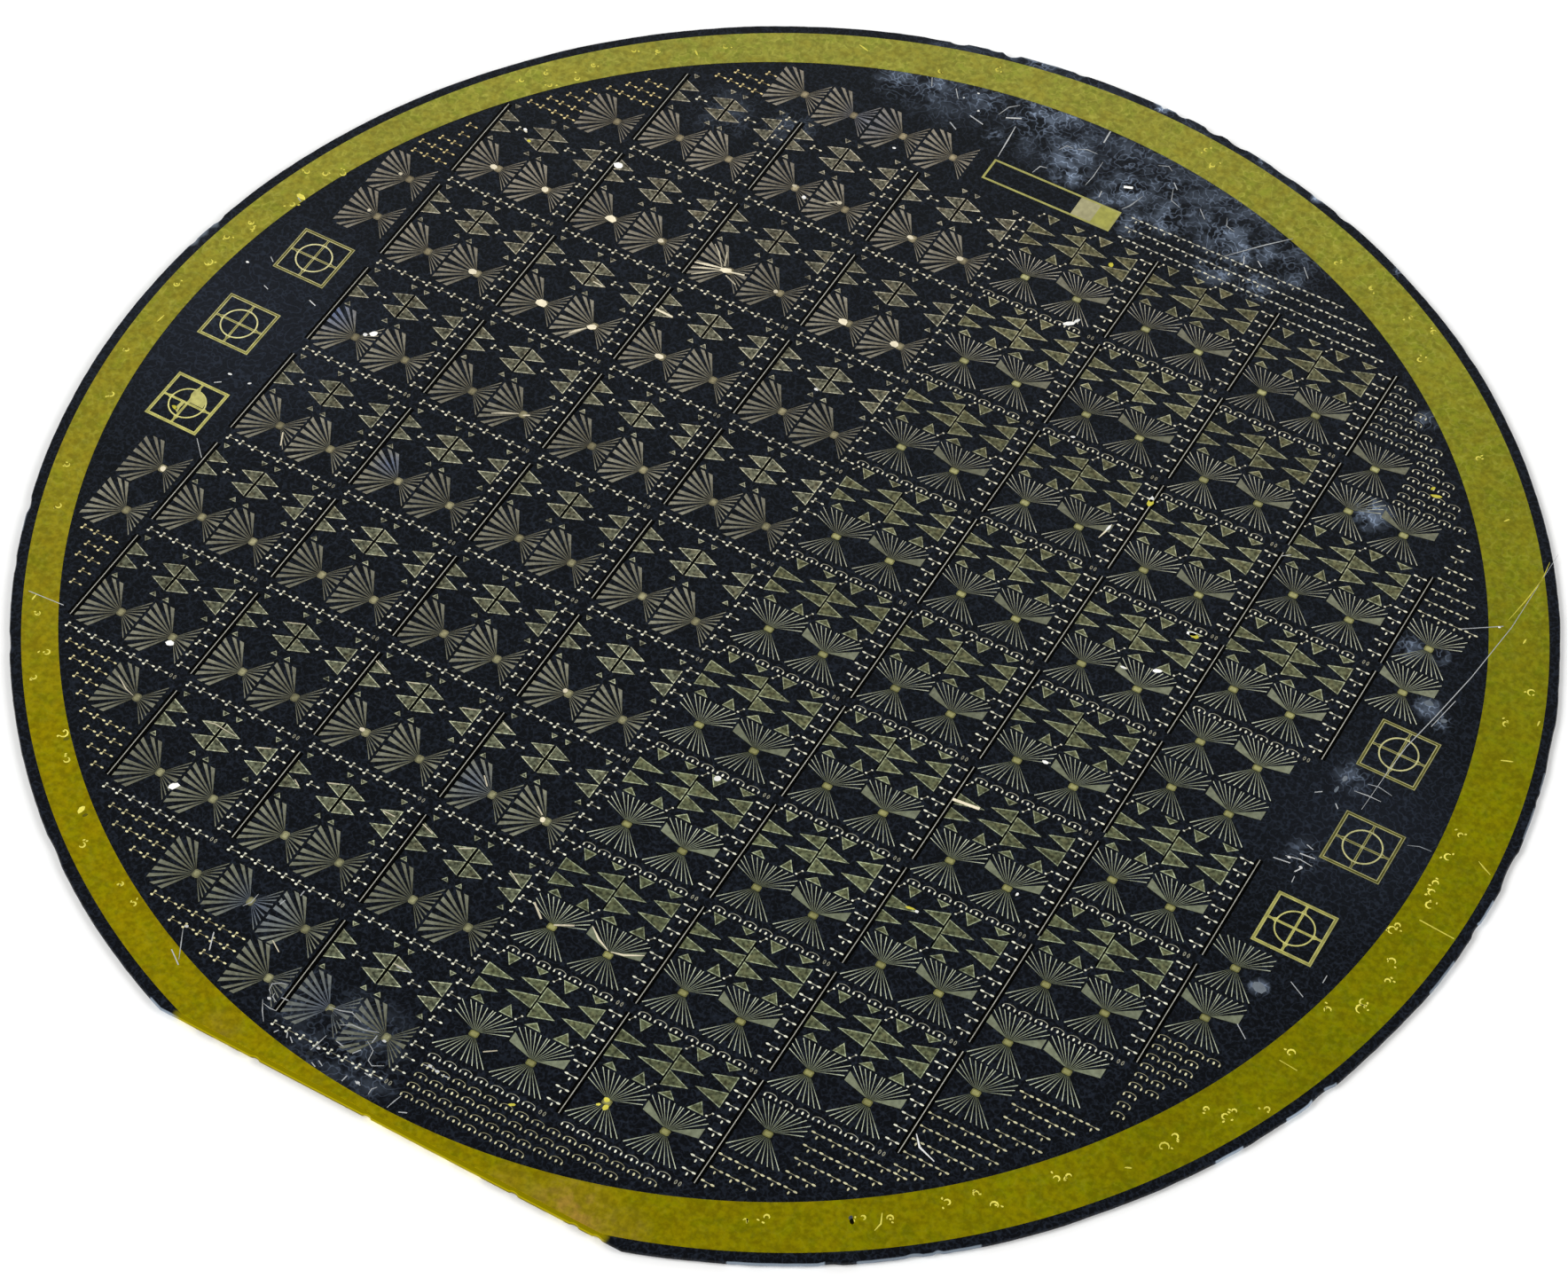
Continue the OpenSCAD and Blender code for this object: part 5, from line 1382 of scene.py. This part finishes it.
# pale streaks along rays and spikes: line, width, shine
streaks = [
    ([(-22.4, 11.4), (-22.9, 10.8), (-23.2, 10.4)], 0.2, 0.6),
    ([(-22.3, 2.7), (-23.1, 2.3), (-23.9, 1.8)], 0.13, 0.6), ([(-22, 2.7), (-21.6, 2.95)], 0.1, 0.6),
    ([(-17.3, 20.8), (-18.2, 21.9), (-18.8, 22.4)], 0.12, 0.45), ([(-17.2, 21), (-17.7, 22.2)], 0.1, 0.4),
    ([(-16.6, 20.7), (-15.6, 20.95)], 0.12, 0.8),
    ([(-17.2, 20.75), (-18.3, 20.5), (-19.15, 20.25)], 0.2, 0.85),
    ([(-17.2, 20.6), (-18.4, 20.1), (-19.1, 19.7)], 0.16, 0.65),
    ([(-17.2, 20.5), (-18.2, 19.7), (-18.8, 19.2)], 0.12, 0.5), ([(-16.7, 20.3), (-15.7, 19.9)], 0.08, 0.4),
    ([(-32.6, -28.4), (-31.6, -29), (-30.9, -29.2)], 0.09, 0.5),
    ([(-34.9, -6.6), (-34.4, -7.6)], 0.09, 0.6), ([(16.15, 14.4), (16.05, 13.7), (15.9, 13)], 0.12, 0.8),
    ([(7, -29.5), (5.9, -30.1), (5.1, -30.3)], 0.14, 0.7),
    ([(4.9, -30.3), (4, -29.9), (3.2, -29.3)], 0.14, 0.7), ([(17.6, -10.0), (19.4, -9.8)], 0.2, 0.9),
    ([(2.2, -40.1), (2.9, -39.6)], 0.07, 0.4), ([(-13, -39.9), (-12.2, -40.4)], 0.07, 0.5),
    ([(-25.9, -28.6), (-25.2, -28.4), (-23.5, -28.55)], 0.07, 0.6),
    ([(-21.9, -28.6), (-21.1, -28.2)], 0.07, 0.6), ([(-16.6, -28.6), (-15.9, -28.3)], 0.08, 0.5),
    ([(-12.5, -28.6), (-11.6, -28.6)], 0.07, 0.55), ([(-9.8, -28.2), (-8.9, -28.5)], 0.06, 0.6),
    ([(-18.5, -29.4), (-18, -29.7)], 0.06, 0.5), ([(-15, -29.4), (-14.2, -29.6)], 0.06, 0.5),
    ([(-6.9, -28.6), (-6.2, -28.2)], 0.07, 0.55), ([(-3.3, -28.4), (-2.4, -28.9)], 0.06, 0.5),
    ([(-19.2, -19.2), (-18.2, -19.6)], 0.07, 0.6), ([(-9.7, -19.2), (-8.8, -19.5)], 0.06, 0.5),
    ([(-25.8, -19.5), (-24.8, -19.1)], 0.06, 0.45), ([(-12.5, -19.5), (-11.6, -19.2)], 0.06, 0.5),
    ([(-16.6, -19.6), (-15.8, -19.3)], 0.06, 0.45), ([(-19.25, 15.25), (-17.9, 15.2)], 0.16, 0.85),
    ([(-24.2, 15.2), (-23.4, 15.15)], 0.09, 0.7), ([(-8.5, -23.2), (-7.9, -23.8)], 0.08, 0.5),
    ([(-4.4, -23.5), (-3.8, -23.9)], 0.09, 0.5), ([(-14.1, 29.6), (-13.4, 30.2)], 0.1, 0.5),
    ([(0.2, -30.4), (-0.8, -29.6)], 0.12, 0.55), ([(1.1, -30.4), (2.2, -29.8)], 0.12, 0.5),
    ([(-5.8, -37.6), (-4.9, -37.6)], 0.08, 0.5), ([(22.4, 4.5), (21.9, 4.45)], 0.1, 0.6)]
# flashes in the plain film round the rim, painted highlights on small specks, and where the shine is below 0
# painted shade beside one: angle, distance from the centre, length, width, lean, shine
ringFlashes = [
    (-63, 47.2, 0.3, 0.2, 20, 0.6), (-61.5, 46.9, 0.35, 0.2, 60, 0.7), (-55.5, 47.3, 0.5, 0.35, 0, -1),
    (-54.7, 47.1, 0.3, 0.2, 0, 0.5), (-52.8, 47.3, 0.4, 0.2, 50, 0.6), (-48.6, 46.8, 0.4, 0.2, 0, 0.7),
    (-46.4, 46.6, 0.35, 0.2, 80, 0.6), (-45.4, 47.6, 0.5, 0.25, 40, 0.8), (-40.5, 47, 0.4, 0.3, 10, 0.8),
    (-39.6, 47.1, 0.35, 0.25, 70, 0.7), (-35.4, 47.9, 0.5, 0.14, 60, 0.5), (-32.3, 47.6, 0.6, 0.4, 30, 0.5),
    (-31.2, 47.3, 0.4, 0.25, 0, 0.8), (-28, 46.7, 0.35, 0.2, 40, 0.7), (-27.2, 47.7, 0.4, 0.2, 90, 0.7),
    (-26.4, 47.7, 0.3, 0.2, 20, 0.7), (-24.4, 48.7, 0.35, 0.2, 0, 0.5), (-19.9, 46.7, 0.5, 0.3, 30, 0.8),
    (-15.2, 46.1, 0.45, 0.25, 20, 0.7), (-13.4, 47.5, 0.65, 0.3, 60, 0.8),
    (-12.8, 47.3, 0.5, 0.25, 130, 0.7), (-10.2, 47.5, 0.35, 0.2, 10, 0.7), (-8.6, 46.9, 0.5, 0.3, 0, 0.7),
    (-6.2, 45.7, 0.55, 0.3, 70, 0.8), (-5.6, 45.8, 0.35, 0.2, 0, 0.7), (-2.6, 46.7, 0.5, 0.3, 90, 0.8),
    (-1.5, 46.4, 0.45, 0.25, 40, 0.8), (-0.6, 46.3, 0.4, 0.2, 0, 0.8), (2.1, 46.2, 0.5, 0.3, 70, 0.9),
    (4.4, 46.3, 0.35, 0.2, 30, 0.6), (12.4, 47.5, 0.9, 0.12, 10, 0.6), (15.8, 46.9, 0.4, 0.2, 40, 0.6),
    (16.5, 48.9, 0.5, 0.12, 80, 0.6), (19.2, 48.2, 0.5, 0.2, 30, 0.7), (24, 47.6, 0.5, 0.14, 60, 0.5),
    (36, 47.5, 0.5, 0.14, 20, 0.5), (42.5, 47, 0.35, 0.2, 0, 0.6), (53.7, 46.7, 0.35, 0.2, 60, 0.6),
    (55.8, 48.8, 0.4, 0.3, 0, 0.6), (57.9, 48.1, 0.3, 0.2, 10, 0.6), (62.2, 47.3, 0.35, 0.2, 40, 0.6),
    (66, 46.7, 0.3, 0.2, 0, 0.5), (80.9, 47.2, 0.4, 0.2, 60, 0.6), (82.3, 48.1, 0.3, 0.2, 0, 0.5),
    (101.9, 48.1, 0.3, 0.2, 0, 0.5), (106.6, 46.8, 0.35, 0.2, 30, 0.5), (113.6, 48.1, 1.1, 0.14, 50, 0.6),
    (125.4, 48, 0.35, 0.2, 0, 0.5), (128, 47.6, 0.6, 0.14, 10, 0.5), (131.2, 48.2, 0.35, 0.2, 20, 0.6),
    (133.2, 48.6, 0.3, 0.2, 60, 0.5), (136.9, 47.9, 0.35, 0.2, 0, 0.6), (138.7, 47, 0.4, 0.2, 40, 0.7),
    (141, 48.2, 0.35, 0.2, 0, 0.6), (141.2, 47, 0.3, 0.2, 80, 0.6), (143.2, 48.2, 0.35, 0.2, 10, 0.6),
    (161.5, 46.9, 0.4, 0.2, 50, 0.6), (162.6, 47.7, 0.4, 0.25, 0, 0.8), (163.6, 48.7, 0.35, 0.2, 30, 0.6),
    (165.8, 47.2, 0.9, 0.45, 10, 0.8), (166.9, 47.1, 0.35, 0.25, 60, 0.6), (170.6, 48, 0.4, 0.2, 20, 0.6),
    (171, 47.6, 0.35, 0.2, 70, 0.6), (173, 48.4, 0.4, 0.2, 0, 0.6), (176, 47.9, 0.6, 0.3, 40, 0.7),
    (179.3, 48.5, 0.4, 0.2, 0, 0.6), (183, 47.7, 0.8, 0.12, 80, 0.6), (187, 48.4, 0.4, 0.25, 0, 0.7),
    (191.7, 47.6, 0.4, 0.2, 50, 0.7), (199.4, 48.3, 0.35, 0.2, 0, 0.6), (203.5, 48, 0.4, 0.2, 20, 0.7),
    (212.5, 48.5, 0.6, 0.14, 60, 0.7), (214, 48.2, 0.35, 0.2, 0, 0.6), (217.8, 47.6, 0.4, 0.2, 40, 0.7),
    (220, 48.5, 0.35, 0.2, 0, 0.6), (225.7, 47.2, 0.6, 0.3, 20, 0.9), (226.3, 47.1, 0.4, 0.25, 0, -0.7),
    (228.2, 47.4, 0.4, 0.2, 0, 0.7), (233, 47.5, 0.7, 0.35, 40, 0.9), (233.6, 47.4, 0.5, 0.25, 0, -0.7),
    (236, 48.3, 0.4, 0.2, 0, 0.7), (240.5, 47.3, 0.3, 0.2, 0, 0.6), (242.6, 47.3, 0.3, 0.2, 50, 0.6)]
ringScratches = [
    ([(26, 46.6), (28, 47.8), (30, 49), (31.7, 49.7)], 0.08, 0.35),
    ([(-4.2, 46.7), (-4.2, 49.1)], 0.08, 0.4), ([(2.1, 49), (2.5, 48.4), (2.8, 48)], 0.1, 0.5),
    ([(-54, 48), (-53.5, 47.6), (-53.3, 46.9)], 0.1, 0.7), ([(-21, 46.6), (-20.6, 47.8)], 0.06, 0.3)]


def signedArea(outline):
    return sum(a[0] * b[1] - b[0] * a[1] for a, b in zip(outline, outline[1:] + outline[:1])) / 2


# A curled fleck is drawn as an open loop with two crumbs beside it.
curl = {"longest": 0.7, "slimmest": 0.15, "size": 0.95, "line": 0.12, "spread": 0.45, "crumb": (0.2, 0.13)}


def wearMesh(name, flecks, lines, finish, seed, curled=False):
    shape, rng, high = newShape(), random.Random(seed), top + layers
    for place, size, turn, shine in flecks:
        if curled and size[0] < curl["longest"] and size[1] > curl["slimmest"] and shine > 0:
            addCurl(shape, place, (curl["size"] * size[0], curl["line"]), turn, top, high, shine)
            for crumb in range(2):
                beside = [c + rng.uniform(-curl["spread"], curl["spread"]) for c in place]
                addFleck(shape, beside, curl["crumb"], turn, top, high, shine, rng)
        else:
            addFleck(shape, place, size, turn, top, high, shine, rng)
    for line, width, shine in lines:
        addStroke(shape, line, width, top, top + scratchHeight, shine)
    mesh = shapeMesh(name, shape)
    mesh.materials.append(films[finish])
    return solidNormals(mesh)


def fillMesh(name, outlines, shine, finish):
    shape = newShape()
    for outline in outlines:
        addPrism(shape, outline if signedArea(outline) > 0 else outline[::-1], top, top + layers, shine)
    mesh = shapeMesh(name, shape)
    mesh.materials.append(films[finish])
    return mesh


flashes = [(polar(away, angle), (length, width), angle + lean, shine)
           for angle, away, length, width, lean, shine in ringFlashes]
ringLines = [([polar(away, angle) for angle, away in line], width, shine)
             for line, width, shine in ringScratches]
for name, flecks, lines, finish, seed, node in (
        ("dust_and_scratches", crumbs, scratches, "dust", 31, "silicon_wafer"),
        ("worn_pads", wornHubs, streaks, "worn", 34, "left_die_film"),
        ("film_smears", filmSmears, [], "ringMarksAndFlashes", 32, "edge_die_film")):
    finishPiece(name, wearMesh(name, flecks, lines, finish, seed), node)
finishPiece("mark_residue", fillMesh("mark_residue", markFills, 0.55, "marks"), "alignment_marks")
finishPiece("rim_film_flashes", wearMesh("rim_film_flashes", flashes, ringLines, "ringMarksAndFlashes", 33, True),
            "rim_film")
print("marks of handling made")
